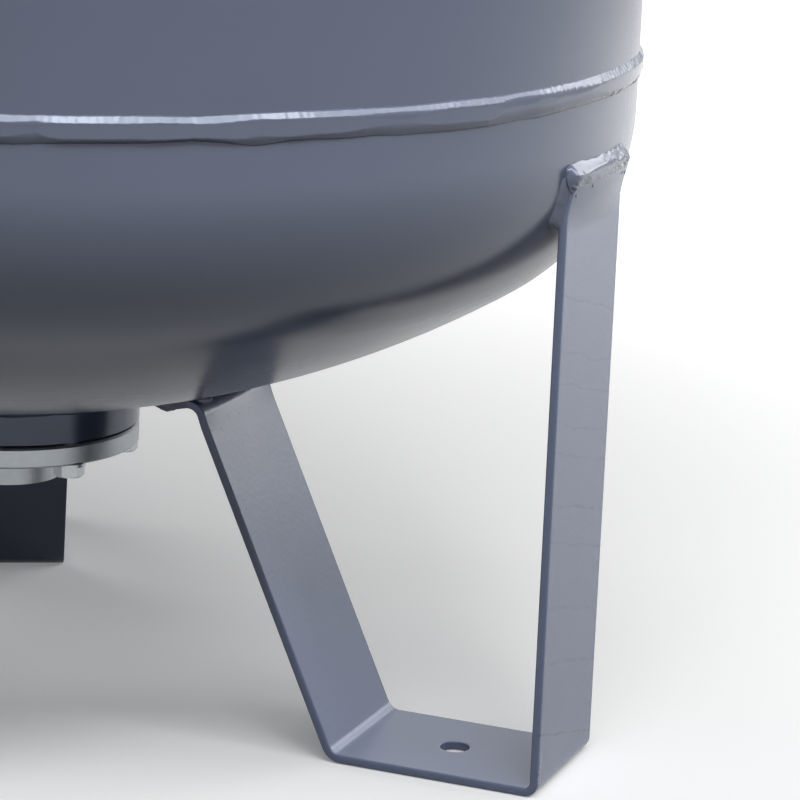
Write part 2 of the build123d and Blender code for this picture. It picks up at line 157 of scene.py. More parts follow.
# Solvent-borne enamel, sprayed: a smooth glossy skin with a shallow orange peel, so reflections keep their
# shape and only shimmer at the edges. The tone drifts a little where the coats lie thicker.
enamelLook = {
    "thin": "#687086",
    "thick": "#6E778E",
    "driftSize": 170,       # mm across one patch of thicker paint
    "roughness": 0.22,
    "roughnessDrift": 0.05,
    "peelSize": 3.2,        # mm from crest to crest
    "peelDepth": 0.006,     # mm
    "ior": 1.6,
    "shine": (0.79, 0.85, 1.0, 1.0),    # tint of its highlights
}
# The same enamel on hot-rolled flat bar: the scale under it leaves the film rougher and more open
barLook = {**enamelLook, "thin": "#6F7B98", "thick": "#7783A1", "driftSize": 40, "roughness": 0.24,
           "peelSize": 2.4, "peelDepth": 0.03}
# And over a weld bead, where it pools between the ripples and shines
beadEnamelLook = {**enamelLook, "driftSize": 30, "roughness": 0.14, "roughnessDrift": 0.03, "peelSize": 1.6,
                  "peelDepth": 0.01}


# The bar's own map counts millimetres across and along it, and has this much added across on its inner side
innerSide = 200

# Thin darker level lines on the upright, nicks in the leaning part's paint, and a run that dried rough on the
# toe's near edge. A line is its height above the floor at the bar's middle and its darkness; nicks and the
# run lie across and along the bar's map. Lengths are in mm.
barMarks = {
    "lines": [(20.5, 1.0), (56.0, 0.5), (81.5, 0.5), (112.0, 0.45), (130.0, 0.6), (154.0, 0.5), (168.0, 0.35),
              (186.5, 0.5), (201.0, 0.4), (226.5, 0.5)],
    "lineSpan": 250,        # height that holds them all
    "lineSlope": 0.265,     # the lines fall towards the far edge
    "lineHalf": 0.9,
    "lineDepth": 0.55,
    "waver": 5.0,           # how far a line strays up and down, and how often
    "waverPerMm": 0.04,
    "patchesPerMm": 0.12,   # the lines come and go this often
    # colour that the level lines darken towards
    "lineTone": "#596074",
    "nick": "#565D70",
    "nicks": [(-34.5, -260.2), (-25.5, -259.1), (-15.3, -263.4), (-3.1, -261.8), (8.3, -261.8),
              (15.5, -275.6)],
    "nickSize": 0.8,
    "raggedPerMm": 1.2,
    "run": {"middle": (-35.6, 8.0), "half": (3.6, 12.0), "wrinkle": 1.6, "depth": 1.1, "gloss": 0.6},
}


# Enamel from one look: drift in colour and gloss from a broad noise, orange peel from a fine one
def enamel(name, look, marks=None):
    material, tree, output = newMaterial(name)
    place = addNode(tree, "ShaderNodeTexCoord").outputs["Object"]
    # turned by a few odd angles, so that the noise's lattice doesn't line up with the flat faces
    place = addNode(tree, "ShaderNodeMapping", {"Rotation": (0.7, 0.5, 0.4), "Vector": place}).outputs[0]
    drift = noise(tree, place, 1000 / look["driftSize"], 3.0)
    colour = mixed(tree, drift, hexColour(look["thin"]), hexColour(look["thick"]))
    if marks:
        colour = markedBar(tree, colour, marks)
    gloss = mapped(tree, drift, wanted=(look["roughness"] - look["roughnessDrift"],
                                        look["roughness"] + look["roughnessDrift"]))
    bump = relief(tree, noise(tree, place, 1000 / look["peelSize"], 1.5), look["peelDepth"] * 2)
    if marks:
        bump, gloss = paintRun(tree, bump, gloss, marks["run"])
    skin = addNode(tree, "ShaderNodeBsdfPrincipled", {
        "IOR": look["ior"], "Specular Tint": look["shine"], "Base Color": colour, "Roughness": gloss,
        "Normal": bump})
    tree.links.new(skin.outputs[0], output.inputs[0])
    return material


# Darkens a colour along the level lines and at the nicks, all placed on the bar's own map
def markedBar(tree, colour, marks):
    sheet = addNode(tree, "ShaderNodeUVMap", {"uv_map": "sheet"}).outputs["UV"]
    split = addNode(tree, "ShaderNodeSeparateXYZ", {0: sheet}).outputs
    slope = maths(tree, "MULTIPLY_ADD", split["X"], marks["lineSlope"], split["Y"])
    waver = noise(tree, sheet, marks["waverPerMm"], 0.5)
    height = maths(tree, "MULTIPLY_ADD", waver, marks["waver"], slope)
    middle = marks["waver"] / 2
    height = mapped(tree, height, given=(middle, marks["lineSpan"] + middle))
    ramp = addNode(tree, "ShaderNodeValToRGB", {"Fac": height})
    stops = ramp.color_ramp.elements
    stops[0].color = stops[1].color = (0, 0, 0, 1)
    for line, depth in marks["lines"]:
        for offset, level in ((-1, 0), (0, depth), (1, 0)):
            stop = stops.new((line + offset * marks["lineHalf"]) / marks["lineSpan"])
            stop.color = (level, level, level, 1)
    outer = maths(tree, "LESS_THAN", split["X"], innerSide / 2)
    patchy = noise(tree, sheet, marks["patchesPerMm"], 2.0)
    strength = mapped(tree, patchy, given=(0.3, 0.7), wanted=(0, 2 * marks["lineDepth"]))
    shade = maths(tree, "MULTIPLY", ramp.outputs[0], outer)
    shade = maths(tree, "MULTIPLY", shade, strength, clamp=True)
    colour = mixed(tree, shade, colour, hexColour(marks["lineTone"]))
    near = None
    for across, along in marks["nicks"]:
        apart = vectorMaths(tree, "DISTANCE", sheet, (across + innerSide, along, 0))
        near = maths(tree, "MINIMUM", near, apart) if near else apart
    ragged = noise(tree, sheet, marks["raggedPerMm"], 2.0)
    nick = maths(tree, "LESS_THAN", near, maths(tree, "MULTIPLY", ragged, 2 * marks["nickSize"]))
    return mixed(tree, nick, colour, hexColour(marks["nick"]))


# Adds glossy wrinkles inside an oval of the bar's map, fading out at its rim
def paintRun(tree, bump, gloss, run):
    sheet = addNode(tree, "ShaderNodeUVMap", {"uv_map": "sheet"}).outputs["UV"]
    (x, y), (a, b) = run["middle"], run["half"]
    oval = vectorMaths(tree, "MULTIPLY_ADD", sheet, (1 / a, 1 / b, 0), (-x / a, -y / b, 0))
    inside = mapped(tree, vectorMaths(tree, "LENGTH", oval), given=(1.0, 0.4), kind="SMOOTHSTEP")
    wrinkle = maths(tree, "MULTIPLY", noise(tree, sheet, 1 / run["wrinkle"], 2.0), inside)
    share = maths(tree, "MULTIPLY_ADD", inside, -run["gloss"], 1.0)
    return relief(tree, wrinkle, run["depth"] * 2, bump), maths(tree, "MULTIPLY", gloss, share)


# The water connection's thread, in mm: a standard pipe thread's pitch, cut inside this radius
boreThread = {"radius": 20.3, "pitch": 2.309, "depth": 0.9}


# Relief of a thread round the Z axis, inside its radius: a triangle wave of height / pitch - turn
def threadRelief(tree, place, bump, thread):
    split = addNode(tree, "ShaderNodeSeparateXYZ", {0: place}).outputs
    turn = maths(tree, "ARCTAN2", split["Y"], split["X"])
    turn = maths(tree, "DIVIDE", turn, -2 * math.pi)
    climb = maths(tree, "MULTIPLY_ADD", split["Z"], 1 / (thread["pitch"] * mm), turn)
    wave = maths(tree, "PINGPONG", climb, 0.5)
    flat = addNode(tree, "ShaderNodeCombineXYZ", {0: split["X"], 1: split["Y"]}).outputs[0]
    inside = maths(tree, "LESS_THAN", vectorMaths(tree, "LENGTH", flat), thread["radius"] * mm)
    return relief(tree, maths(tree, "MULTIPLY", wave, inside), 2 * thread["depth"], bump)


# A plain finish with a fine grain, whose size and depth are in mm: its colour drifts between two tones and
# the same noise varies the gloss
def grained(name, dark, light, metallic, roughness, grainSize, grainDepth, thread=None):
    material, tree, output = newMaterial(name)
    place = addNode(tree, "ShaderNodeTexCoord").outputs["Object"]
    grain = noise(tree, place, 1000 / grainSize, 4.0)
    bump = relief(tree, grain, grainDepth)
    if thread:
        bump = threadRelief(tree, place, bump, thread)
    skin = addNode(tree, "ShaderNodeBsdfPrincipled", {
        "Metallic": metallic, "Base Color": mixed(tree, grain, hexColour(dark), hexColour(light)),
        "Roughness": mapped(tree, grain, wanted=(roughness * 0.8, roughness * 1.2)), "Normal": bump})
    tree.links.new(skin.outputs[0], output.inputs[0])
    return material


# The grains of brass, wire, seals and cap are drawn coarser than the real ones, which wouldn't show
finishes = {
    "tankEnamel": enamel("tank_enamel", enamelLook),
    "barEnamel": enamel("bar_enamel", barLook, barMarks),
    "weldEnamel": enamel("weld_enamel", beadEnamelLook),
    # Zinc plate, blue passivated: a soft grey metal, slightly clouded by the bath, with a tapped bore
    "tappedZinc": grained("zinc_plated_tapped_steel", "#8E9296", "#A9ADB0", 1.0, 0.42, 6, 0.01, boreThread),
    # The same plate barrelled onto small cold-headed parts: brighter and finer
    "boltZinc": grained("bolt_zinc", "#9A9EA1", "#B4B7B9", 1.0, 0.34, 2.5, 0.008),
    # Free-cutting brass, turned: warm, with a fine machined grain
    "turnedBrass": grained("turned_brass", "#B29C6C", "#C6B283", 1.0, 0.3, 1.2, 0.006),
    # Hard-drawn spring wire: dark bright steel
    "springWire": grained("spring_wire", "#8B8D8F", "#9C9EA0", 1.0, 0.3, 1.0, 0.003),
    # Butyl rubber, moulded: matt black with a faint bloom
    "butylRubber": grained("butyl_rubber", "#17181A", "#232427", 0.0, 0.62, 8, 0.03),
    # Nitrile rubber, cut from moulded sheet: black and a little smoother
    "nitrileSeal": grained("nitrile_seal", "#141416", "#1C1D1F", 0.0, 0.5, 3, 0.01),
    # Glass-filled nylon, moulded: black, a little grainy
    "capNylon": grained("cap_nylon", "#16171A", "#202226", 0.0, 0.45, 0.9, 0.02),
}
print("materials made:", len(finishes))


# Mesh tools

# Quads of a grid stored row by row; a closed direction joins its last line to its first
def gridQuads(rows, columns, closeRows=False, closeColumns=False):
    i = np.arange(rows if closeRows else rows - 1)[:, None]
    j = np.arange(columns if closeColumns else columns - 1)[None, :]
    i2, j2 = (i + 1) % rows, (j + 1) % columns
    corners = [i * columns + j, i * columns + j2, i2 * columns + j2, i2 * columns + j]
    return np.stack([np.broadcast_to(c, (len(i), j.shape[1])) for c in corners], -1).reshape(-1, 4)


# Merges points that lie within a thousandth of a millimetre, which closes seams and poles
def weldPoints(points, quads):
    keys = np.round(points * 1000).astype(np.int64)
    _, first, index = np.unique(keys, axis=0, return_index=True, return_inverse=True)
    return points[first], index.reshape(-1)[quads], first


# One closed surface from points in mm and quads, where a quad may have a doubled corner. Faces are turned
# outwards by the sign of the enclosed volume.
def makePiece(name, points, quads, material, sharp=40, uv=None, rides=True):
    points, quads, kept = weldPoints(points.reshape(-1, 3), quads)
    same = quads == np.roll(quads, -1, axis=1)
    flat = same.sum(1) >= 2
    quads, same = quads[~flat], same[~flat]
    a, b, c, d = (points[quads[:, k]] for k in range(4))
    volume = (np.einsum("ij,ij->i", a, np.cross(b, c)) + np.einsum("ij,ij->i", a, np.cross(c, d))).sum()
    if volume < 0:
        quads, same = quads[:, ::-1], np.roll(same[:, ::-1], -1, axis=1)
    keep = ~same
    sizes = keep.sum(1)
    corners = quads[keep]
    mesh = bpy.data.meshes.new(name)
    mesh.vertices.add(len(points))
    mesh.vertices.foreach_set("co", (points * mm).astype(np.float32).ravel())
    mesh.loops.add(len(corners))
    mesh.loops.foreach_set("vertex_index", corners.astype(np.int32))
    mesh.polygons.add(len(quads))
    mesh.polygons.foreach_set("loop_start", np.concatenate([[0], np.cumsum(sizes)[:-1]]).astype(np.int32))
    mesh.polygons.foreach_set("loop_total", sizes.astype(np.int32))
    mesh.update(calc_edges=True)
    mesh.validate()
    mesh.polygons.foreach_set("use_smooth", np.ones(len(mesh.polygons), bool))
    mesh.set_sharp_from_angle(angle=math.radians(sharp))
    if uv is not None:
        layer = mesh.uv_layers.new(name="sheet")
        vertex = np.empty(len(mesh.loops), np.int32)
        mesh.loops.foreach_get("vertex_index", vertex)
        layer.uv.foreach_set("vector", uv.reshape(-1, 2)[kept][vertex].astype(np.float32).ravel())
    piece = bpy.data.objects.new(name, mesh)
    bpy.context.scene.collection.objects.link(piece)
    mesh.materials.append(material)
    if rides:
        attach(piece, "tank")
    return piece


# A profile of (radius, height) points turned about the axis; the grid is angles by profile
def turned(profile, angles):
    return np.stack([profile[..., 0] * np.cos(angles)[:, None], profile[..., 0] * np.sin(angles)[:, None],
                     np.broadcast_to(profile[..., 1], (len(angles), profile.shape[-2]))], -1)


# Closed rows get one middle point at each end, so that the strip is a closed body
def capped(grid):
    first, last = grid[:1].mean(1, keepdims=True), grid[-1:].mean(1, keepdims=True)
    shape = grid[:1].shape
    return np.concatenate([np.broadcast_to(first, shape), grid, np.broadcast_to(last, shape)])


def fullTurn(count):
    return np.arange(count) * 2 * np.pi / count


# Eases from 0 to 1 as x goes from low to high
def ease(x, low, high):
    t = np.clip((x - low) / (high - low), 0, 1)
    return t * t * (3 - 2 * t)


# Rises from 0 to 1 between a and b, and falls back between c and d
def plateau(x, a, b, c, d):
    return ease(x, a, b) * (1 - ease(x, c, d))


# A hump of height 1 at a centre, with a given half width
def hump(x, centre, width):
    return np.exp(-((x - centre) / width) ** 2)


# A smooth random line in about -1 to 1: five sines about one wavelength, with seeded phases
def wander(x, wavelength, seed):
    rng = np.random.default_rng(seed)
    lengths = wavelength * rng.uniform(0.6, 1.7, 5)
    phases = rng.uniform(0, 2 * np.pi, 5)
    return sum(np.sin(2 * np.pi * x / length + phase) for length, phase in zip(lengths, phases)) / 2.6


# A closed line of values averaged over a bell-shaped window of so many neighbours each way
def smoothed(line, reach):
    weights = np.hanning(2 * reach + 3)[1:-1]
    wrapped = np.concatenate([line[-reach:], line, line[:reach]])
    return np.convolve(wrapped, weights / weights.sum(), "valid")


# A smooth random sheet in about -1 to 1: nine plane waves in seeded directions
def crumple(x, y, wavelength, seed):
    rng = np.random.default_rng(seed)
    total = 0
    for turn in rng.uniform(0, 2 * np.pi, 9):
        length = wavelength * rng.uniform(0.6, 1.8)
        total = total + np.sin(2 * np.pi * (x * math.cos(turn) + y * math.sin(turn)) / length
                               + rng.uniform(0, 2 * np.pi))
    return total / 3.6


# Vessel

vessel = {
    "radius": round(float(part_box("shell")[1][0]) / mm, 3),
    "wall": 3.0,
    "lowerSeam": float(sum(corner[2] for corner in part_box("lower_girth_weld")) / 2 / mm),
    "upperSeam": float(sum(corner[2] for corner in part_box("upper_girth_weld")) / 2 / mm),
    "skirt": 23.0,          # straight part of a head before its knuckle
    "crown": 480.0,         # radius
    "knuckle": 92.4,
    "grooveHalf": 1.0,      # half of the seam's V groove at the inside, and how much wider it is outside
    "grooveSpread": 3.0 * math.tan(math.radians(30)),
    "bottomOpening": 40.0,  # radius
    "topOpening": 17.1,
    "seamAzimuth": 150.0,
    "closeRows": 45.0,      # mm of the shell's foot whose rows lie close, because it isn't quite straight
}
# The shell's foot was drawn out by the weld's heat: mm outwards, then the middle and half height above the
# seam. The ridge runs all round and comes and goes over so many mm, and the swelling has a middle and half
# width in degrees.
drawnPlate = {
    "ridge": (0.1, 3, 10),
    "wander": 90,
    "perDegree": 5.2,       # mm along the seam
    "swelling": (0.35, 3, 9),
    "swellingAt": (-42.5, 3.6),
}
knuckleRing = vessel["radius"] - vessel["knuckle"]
crownDrop = math.sqrt((vessel["crown"] - vessel["knuckle"]) ** 2 - knuckleRing ** 2)
knuckleSweep = math.acos(knuckleRing / (vessel["crown"] - vessel["knuckle"]))
lowKnuckle = vessel["lowerSeam"] - vessel["skirt"]
lowCrown = lowKnuckle + crownDrop
highKnuckle = vessel["upperSeam"] + vessel["skirt"]
highCrown = highKnuckle - crownDrop


# Outline of a head from the cylinder to its opening: the knuckle's arc, then the crown's. side is 1 on top.
def domeOutline(side, inset, opening):
    knuckleHeight = highKnuckle if side > 0 else lowKnuckle
    crownHeight = highCrown if side > 0 else lowCrown
    turn = np.linspace(0, knuckleSweep, 38)
    arc = np.stack([knuckleRing + (vessel["knuckle"] - inset) * np.cos(turn),
                    knuckleHeight + side * (vessel["knuckle"] - inset) * np.sin(turn)], -1)
    rise = np.linspace(knuckleSweep, math.acos(opening / (vessel["crown"] - inset)), 32)[1:]
    cap = np.stack([(vessel["crown"] - inset) * np.cos(rise),
                    crownHeight + side * (vessel["crown"] - inset) * np.sin(rise)], -1)
    return np.concatenate([arc, cap])


def makeHead(node, side, opening):
    seam = vessel["upperSeam"] if side > 0 else vessel["lowerSeam"]
    knuckleHeight = highKnuckle if side > 0 else lowKnuckle
    outerRim = seam + side * (vessel["grooveHalf"] + vessel["grooveSpread"])
    skirt = np.linspace(outerRim, knuckleHeight, 9)[:-1]
    straight = np.stack([np.full(len(skirt), vessel["radius"]), skirt], -1)
    outer = np.concatenate([straight, domeOutline(side, 0, opening)])
    inner = np.concatenate([domeOutline(side, vessel["wall"], opening)[::-1],
                            [[vessel["radius"] - vessel["wall"], seam + side * vessel["grooveHalf"]]]])
    profile = np.concatenate([outer, inner])
    angles = fullTurn(320)
    quads = gridQuads(len(angles), len(profile), True, True)
    piece = makePiece(node + "Painted", turned(profile, angles), quads, finishes["tankEnamel"])
    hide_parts(node)


# The rolled shell: a profile of both walls carried round from one side of the straight seam to the other, and
# closed there by a fan of triangles from each corner of the inner wall
def makeShell():
    low = vessel["lowerSeam"] + vessel["grooveHalf"]
    high = vessel["upperSeam"] - vessel["grooveHalf"]
    spread = vessel["grooveSpread"]
    heights = np.concatenate([low + spread + np.linspace(0, vessel["closeRows"], 31),
                              np.linspace(low + spread + vessel["closeRows"] + 15, high - spread, 44)])
    outer = np.stack([np.full(len(heights), vessel["radius"]), heights], -1)
    inner = np.array([[vessel["radius"] - vessel["wall"], high], [vessel["radius"] - vessel["wall"], low]])
    profile = np.concatenate([outer, inner])
    slot = (vessel["grooveHalf"] + spread) / vessel["radius"]
    start = math.radians(vessel["seamAzimuth"])
    angles = start + np.linspace(slot, 2 * np.pi - slot, 420)
    grid = turned(profile, angles)
    around = np.degrees((angles + np.pi) % (2 * np.pi) - np.pi)[:, None]
    above = heights[None, :] - vessel["lowerSeam"]
    out, middle, half = drawnPlate["swelling"]
    flare = out * hump(above, middle, half) * hump(around, *drawnPlate["swellingAt"])
    out, middle, half = drawnPlate["ridge"]
    alongSeam = around * drawnPlate["perDegree"]
    flare = flare + out * hump(above, middle, half) * (wander(alongSeam, drawnPlate["wander"], 3) * 0.5 + 0.5)
    push = 1 + flare / vessel["radius"]
    grid[:, :len(heights), :2] *= push[..., None]
    columns = len(profile)
    k = np.arange(len(heights) - 1)
    split = len(heights) // 2
    corner = np.where(k < split, columns - 1, columns - 2)
    fan = np.concatenate([np.stack([k, k + 1, corner, corner], -1),
                          [[split, columns - 2, columns - 1, columns - 1]]])
    lastRow = (len(angles) - 1) * columns
    quads = np.concatenate([gridQuads(len(angles), columns, False, True), fan[:, ::-1], fan + lastRow])
    piece = makePiece("shellPainted", grid, quads, finishes["tankEnamel"])
    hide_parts("shell")


makeShell()
makeHead("bottom_head", -1, vessel["bottomOpening"])
makeHead("top_head", 1, vessel["topOpening"])
print("vessel made")


# Distance of points from the bottom head's outer surface, positive outside, and the way out of it: from the
# crown's sphere inside its cone, from the knuckle's circle outside it, from the cylinder above the knuckle
def fromHead(points):
    radius = np.hypot(points[..., 0], points[..., 1])
    safe = np.maximum(radius, 1e-9)
    out = np.stack([points[..., 0] / safe, points[..., 1] / safe], -1)
    height = points[..., 2]
    fall = lowCrown - height
    onCrown = radius < knuckleRing / crownDrop * fall
    onCylinder = height > lowKnuckle
    across = np.where(onCrown, radius, radius - knuckleRing)
    up = np.where(onCrown, -fall, height - lowKnuckle)
    up = np.where(onCylinder & ~onCrown, 0, up)
    size = np.hypot(across, up)
    gap = size - np.where(onCrown, vessel["crown"], vessel["knuckle"])
    way = np.concatenate([out * (across / size)[..., None], (up / size)[..., None]], -1)
    return gap, way


# Moves points to a given distance above the bottom head
def seatOnHead(points, lift):
    gap, way = fromHead(points)
    return points + way * (lift - gap)[..., None]


# Girth welds: the bead lies a little above the seam. Its upper third is one even slope that catches the light
# as a band; below that shoulder the body is gently round and turns in at its lower edge.

beadLook = {
    "top": 5.6,             # mm above the seam
    "shoulder": 2.1,
    "bottom": -6.4,
    "slope": 0.64,          # rise per mm on the upper slope
    "corner": 0.25,         # the shoulder is eased over twice this length
    "swell": 0.34,          # mm that the body stands proud of a straight fall below the shoulder
    "sink": 0.3,            # how far the bead's edges lie under the plate's skin
    "limit": 2.17,          # no crest is higher than this
    "rippleLength": 3.4,
    "rippleHeight": 0.012,
    # how each edge strays: mm up or down, and its wavelength in mm; the curls are added past leg 1
    "topWander": (0.35, 42), "shoulderWander": (0.6, 30), "bottomWander": (0.6, 55),
    "topWaver": (0.07, 5), "shoulderWaver": (0.09, 5), "bottomWaver": (0.15, 12),
    "topCurl": (0.3, 5), "shoulderCurl": (0.4, 5),
    "dents": (0.05, 13),
    "curlSkin": ((0.11, 3.4), (0.05, 1.9)),
    "squiggle": 0.22,       # mm that short crossing lines stand up from the upper slope
    "rows": 33,
    "fine": 0.36,           # mm between sections where the photograph shows them, and elsewhere
    "coarse": 1.4,
    "perDegree": 5.24,      # mm along the bead
}
# Stretches of the lower bead in degrees: where sections lie close, where the list below holds with a fading
# at both ends, where the curls lie, and the middle and half width of the squiggles
lowerBead = {"seen": (-60, 14), "listed": (-60, -57, 8, 13), "curls": (-4, 0, 14, 20),
             "squiggles": (-19.5, 3.2)}
# The lower bead where the photograph shows it: azimuth, upper edge, shoulder and lower edge above the seam
lowerBeadEdges = np.array([
    (-62, 5.4, 1.4, -6.2), (-50.7, 5.5, 0.8, -6.1), (-47.6, 5.0, 0.5, -5.4), (-45.1, 5.4, 0.5, -6.5),
    (-44.0, 5.7, 1.3, -7.4), (-42.6, 6.0, 2.8, -8.2), (-41.0, 6.0, 2.0, -7.3), (-39.5, 6.0, 1.3, -6.6),
    (-37.5, 5.9, 2.0, -6.6), (-34.6, 5.8, 2.0, -6.9), (-32.1, 5.6, 2.4, -6.5), (-29.7, 5.4, 2.5, -7.3),
    (-27.3, 5.4, 2.0, -7.3), (-24.4, 5.8, 2.3, -7.6), (-20.0, 5.6, 1.6, -7.4), (-18.8, 5.5, 2.5, -7.4),
    (-16.2, 5.7, 3.0, -6.8), (-13.5, 5.9, 2.9, -7.2), (-7.0, 5.6, 2.8, -6.2), (-2.9, 5.9, 2.9, -6.1),
    (1.2, 6.3, 2.4, -6.2), (8.0, 6.2, 2.2, -6.0)])


# A bead over one seam. Its rise is slope * x over the distance x below the upper edge, with the corner at the
# shoulder eased; below it, with y from 0 at the shoulder to 1 at the lower edge, the shoulder's rise times
# 1 - y^3.2, plus swell * 4y(1 - y). The edges follow the list where there is one and wander elsewhere, and
# past leg 1, where the torch had least room, the skin is left in curls.
def makeGirthWeld(node, seam, seed, edges=None):
    fine, coarse = (beadLook[key] / vessel["radius"] for key in ("fine", "coarse"))
    start, end = np.radians(lowerBead["seen"])
    inView = np.arange(start, end, coarse if edges is None else fine)
    angles = np.concatenate([inView, np.arange(end, start + 2 * np.pi, coarse)])
    azimuth = (np.degrees(angles) + 180) % 360 - 180
    along = azimuth * beadLook["perDegree"]

    def stray(key, extra):
        size, length = beadLook[key]
        return size * wander(along, length, seed + extra)

    lines = [beadLook["top"] + stray("topWander", 0), beadLook["shoulder"] + stray("shoulderWander", 1),
             beadLook["bottom"] - stray("bottomWander", 2) - stray("bottomWaver", 3)]
    listed, curls, squiggles = (np.zeros(len(angles)) for _ in range(3))
    if edges is not None:
        listed, curls = plateau(azimuth, *lowerBead["listed"]), plateau(azimuth, *lowerBead["curls"])
        squiggles = listed * hump(azimuth, *lowerBead["squiggles"])
        lines = [line + listed * (np.interp(azimuth, edges[:, 0], edges[:, k + 1]) - line)
                 for k, line in enumerate(lines)]
    top, shoulder, bottom = (smoothed(line, 9) for line in lines)
    edge = np.maximum(top - shoulder, 1.2)[:, None]
    reach = np.maximum(edge + (stray("shoulderWaver", 5) + curls * stray("shoulderCurl", 10))[:, None], 0.8)
    top = top + stray("topWaver", 4) + curls * stray("topCurl", 9)
    # rows lie closer at the bead's two edges
    q = np.linspace(0, 1, beadLook["rows"])
    z = bottom[:, None] + (top - bottom)[:, None] * (q + 0.04 * np.sin(2 * np.pi * q))[None, :]
    below = top[:, None] - z
    slope = beadLook["slope"] * (1 + 0.05 * wander(along, 40, seed + 6))[:, None]
    corner = beadLook["corner"]
    climb = slope * edge / reach * (below - corner * np.logaddexp(0, (below - reach) / corner))
    y = np.clip((below - edge) / (shoulder - bottom)[:, None], 0, 1)
    rise = climb * (1 - y ** 3.2) + beadLook["swell"] * 4 * y * (1 - y)
    body = np.clip(rise / 0.9, 0, 1)
    chevron = np.sin(2 * np.pi * (along[:, None] + 0.03 * z ** 2) / beadLook["rippleLength"]
                     + 2 * wander(along, 30, seed + 7)[:, None])
    rise = rise + beadLook["rippleHeight"] * chevron * y * body
    size, length = beadLook["dents"]
    rise = rise + size * body * y * crumple(along[:, None], z * 1.6, length, seed + 8)
    crossing = (squiggles * ease(np.abs(wander(along, 3, seed + 13)), 0.2, 0.8))[:, None]
    crossing = crossing * hump(z, 2.0 + 0.5 * wander(along, 6, seed + 14)[:, None], 0.5)
    rise = rise + beadLook["squiggle"] * crossing
    (size, length), (fineSize, fineLength) = beadLook["curlSkin"]
    curl = size * crumple(along[:, None] * 0.5, z, length, seed + 11)
    curl = curl + fineSize * crumple(along[:, None] * 0.4, z, fineLength, seed + 12)
    rise = rise + curls[:, None] * body * curl
    rise = np.minimum(rise, beadLook["limit"])
    radius = vessel["radius"] + rise - beadLook["sink"] * (1 - np.minimum(body * 6, 1))
    # two last columns close the bead in the groove's root
    under = np.full((len(angles), 2), vessel["radius"] - vessel["wall"])
    root = np.broadcast_to(vessel["grooveHalf"] * np.array([1.0, -1.0]), (len(angles), 2))
    radius = np.concatenate([radius, under], 1)
    z = np.concatenate([z, root], 1) + seam
    grid = np.stack([radius * np.cos(angles)[:, None], radius * np.sin(angles)[:, None], z], -1)
    quads = gridQuads(len(angles), radius.shape[1], True, True)
    piece = makePiece(node + "Bead", grid, quads, finishes["weldEnamel"], sharp=70)
    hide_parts(node)


makeGirthWeld("lower_girth_weld", vessel["lowerSeam"], 11, lowerBeadEdges)
makeGirthWeld("upper_girth_weld", vessel["upperSeam"], 31)


# The straight seam at the back: a narrower bead with closer ripples, from girth bead to girth bead. Its rise
# is height * (1 - t^2)^0.7, t from -1 to 1 across it.
seamLook = {"halfWidth": 4.4, "height": 1.35, "limit": 1.58, "sink": 0.3, "rippleLength": 1.9,
            "rippleHeight": 0.06, "overlap": 4.5, "sections": 1800}


def makeShellSeam():
    z = np.linspace(vessel["lowerSeam"] + seamLook["overlap"], vessel["upperSeam"] - seamLook["overlap"],
                    seamLook["sections"])
    t = np.linspace(-1, 1, 13)
    half = seamLook["halfWidth"] + 0.35 * wander(z, 38, 71)
    drift = 0.4 * wander(z, 160, 72)
    body = (1 - t ** 2) ** 0.7
    rise = seamLook["height"] * body * (1 + 0.12 * wander(z, 50, 73))[:, None]
    chevron = np.sin(2 * np.pi * (z[:, None] + 1.8 * t ** 2) / seamLook["rippleLength"]
                     + wander(z, 30, 74)[:, None])
    rise = np.minimum(rise + seamLook["rippleHeight"] * body * chevron, seamLook["limit"])
    side = drift[:, None] + half[:, None] * t[None, :]
    radius = vessel["radius"] - seamLook["sink"] * (1 - body) + rise
    root = np.array([1.0, -1.0]) * vessel["grooveHalf"]
    side = np.concatenate([side, np.broadcast_to(root, (len(z), 2))], 1)
    radius = np.concatenate([radius, np.full((len(z), 2), vessel["radius"] - vessel["wall"] + 0.05)], 1)
    angle = math.radians(vessel["seamAzimuth"]) + side / vessel["radius"]
    grid = np.stack([radius * np.cos(angle), radius * np.sin(angle),
                     np.broadcast_to(z[:, None], radius.shape)], -1)
    piece = makePiece("shell_seam_weldBead", capped(grid), gridQuads(len(z) + 2, grid.shape[1], False, True),
                      finishes["weldEnamel"], sharp=60)
    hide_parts("shell_seam_weld")


makeShellSeam()
print("vessel welds made")


# Legs: one flat bar bent four times. The layout repeats the part's driving dimensions.

legLook = {
    "count": 3,
    "width": 75.0,
    "thickness": 4.0,
    "inset": 2.5,
    "baseLength": 105.0,
    "innerContact": 110.0,      # radius at which the inner tab touches the crown
    "innerTab": 16.0,
    "outerTab": 24.3,
    "outerLean": 14.0,
    "fitUp": 0.3,
    "bends": (5.0, 6.5, 3.0, 15.0),   # inside radii, from the inner tab to the outer one
    "hole": 14.0,
    "holeFromHeel": 50.0,
    "hidden": 2.2,              # the outer tab ends this much sooner, under its bead
    "innerBow": 480.0,          # radii to which the tabs are dished, so that they lie on the head
    "outerBow": 303.0,
    "edge": 0.7,                # rounding along the bar's edges, and at the hole
    "holeEdge": 0.45,
    "spacing": 5.0,             # mm between stations along the straight runs
    "holeReach": 20.0,          # half size of the square of closer stations round the hole, and its cells
    "holeCells": 10,
}


def step(point, heading, distance, aside=0.0):
    c, s = math.cos(heading), math.sin(heading)
    return np.array([point[0] + distance * c - aside * s, point[1] + distance * s + aside * c])


# Where two lines in the (radius, height) plane cross
def meeting(point, heading, other, otherHeading):
    u = np.array([math.cos(heading), math.sin(heading)])
    v = np.array([math.cos(otherHeading), math.sin(otherHeading)])
    gap = np.asarray(other) - point
    return point + u * (gap[0] * v[1] - gap[1] * v[0]) / (u[0] * v[1] - u[1] * v[0])


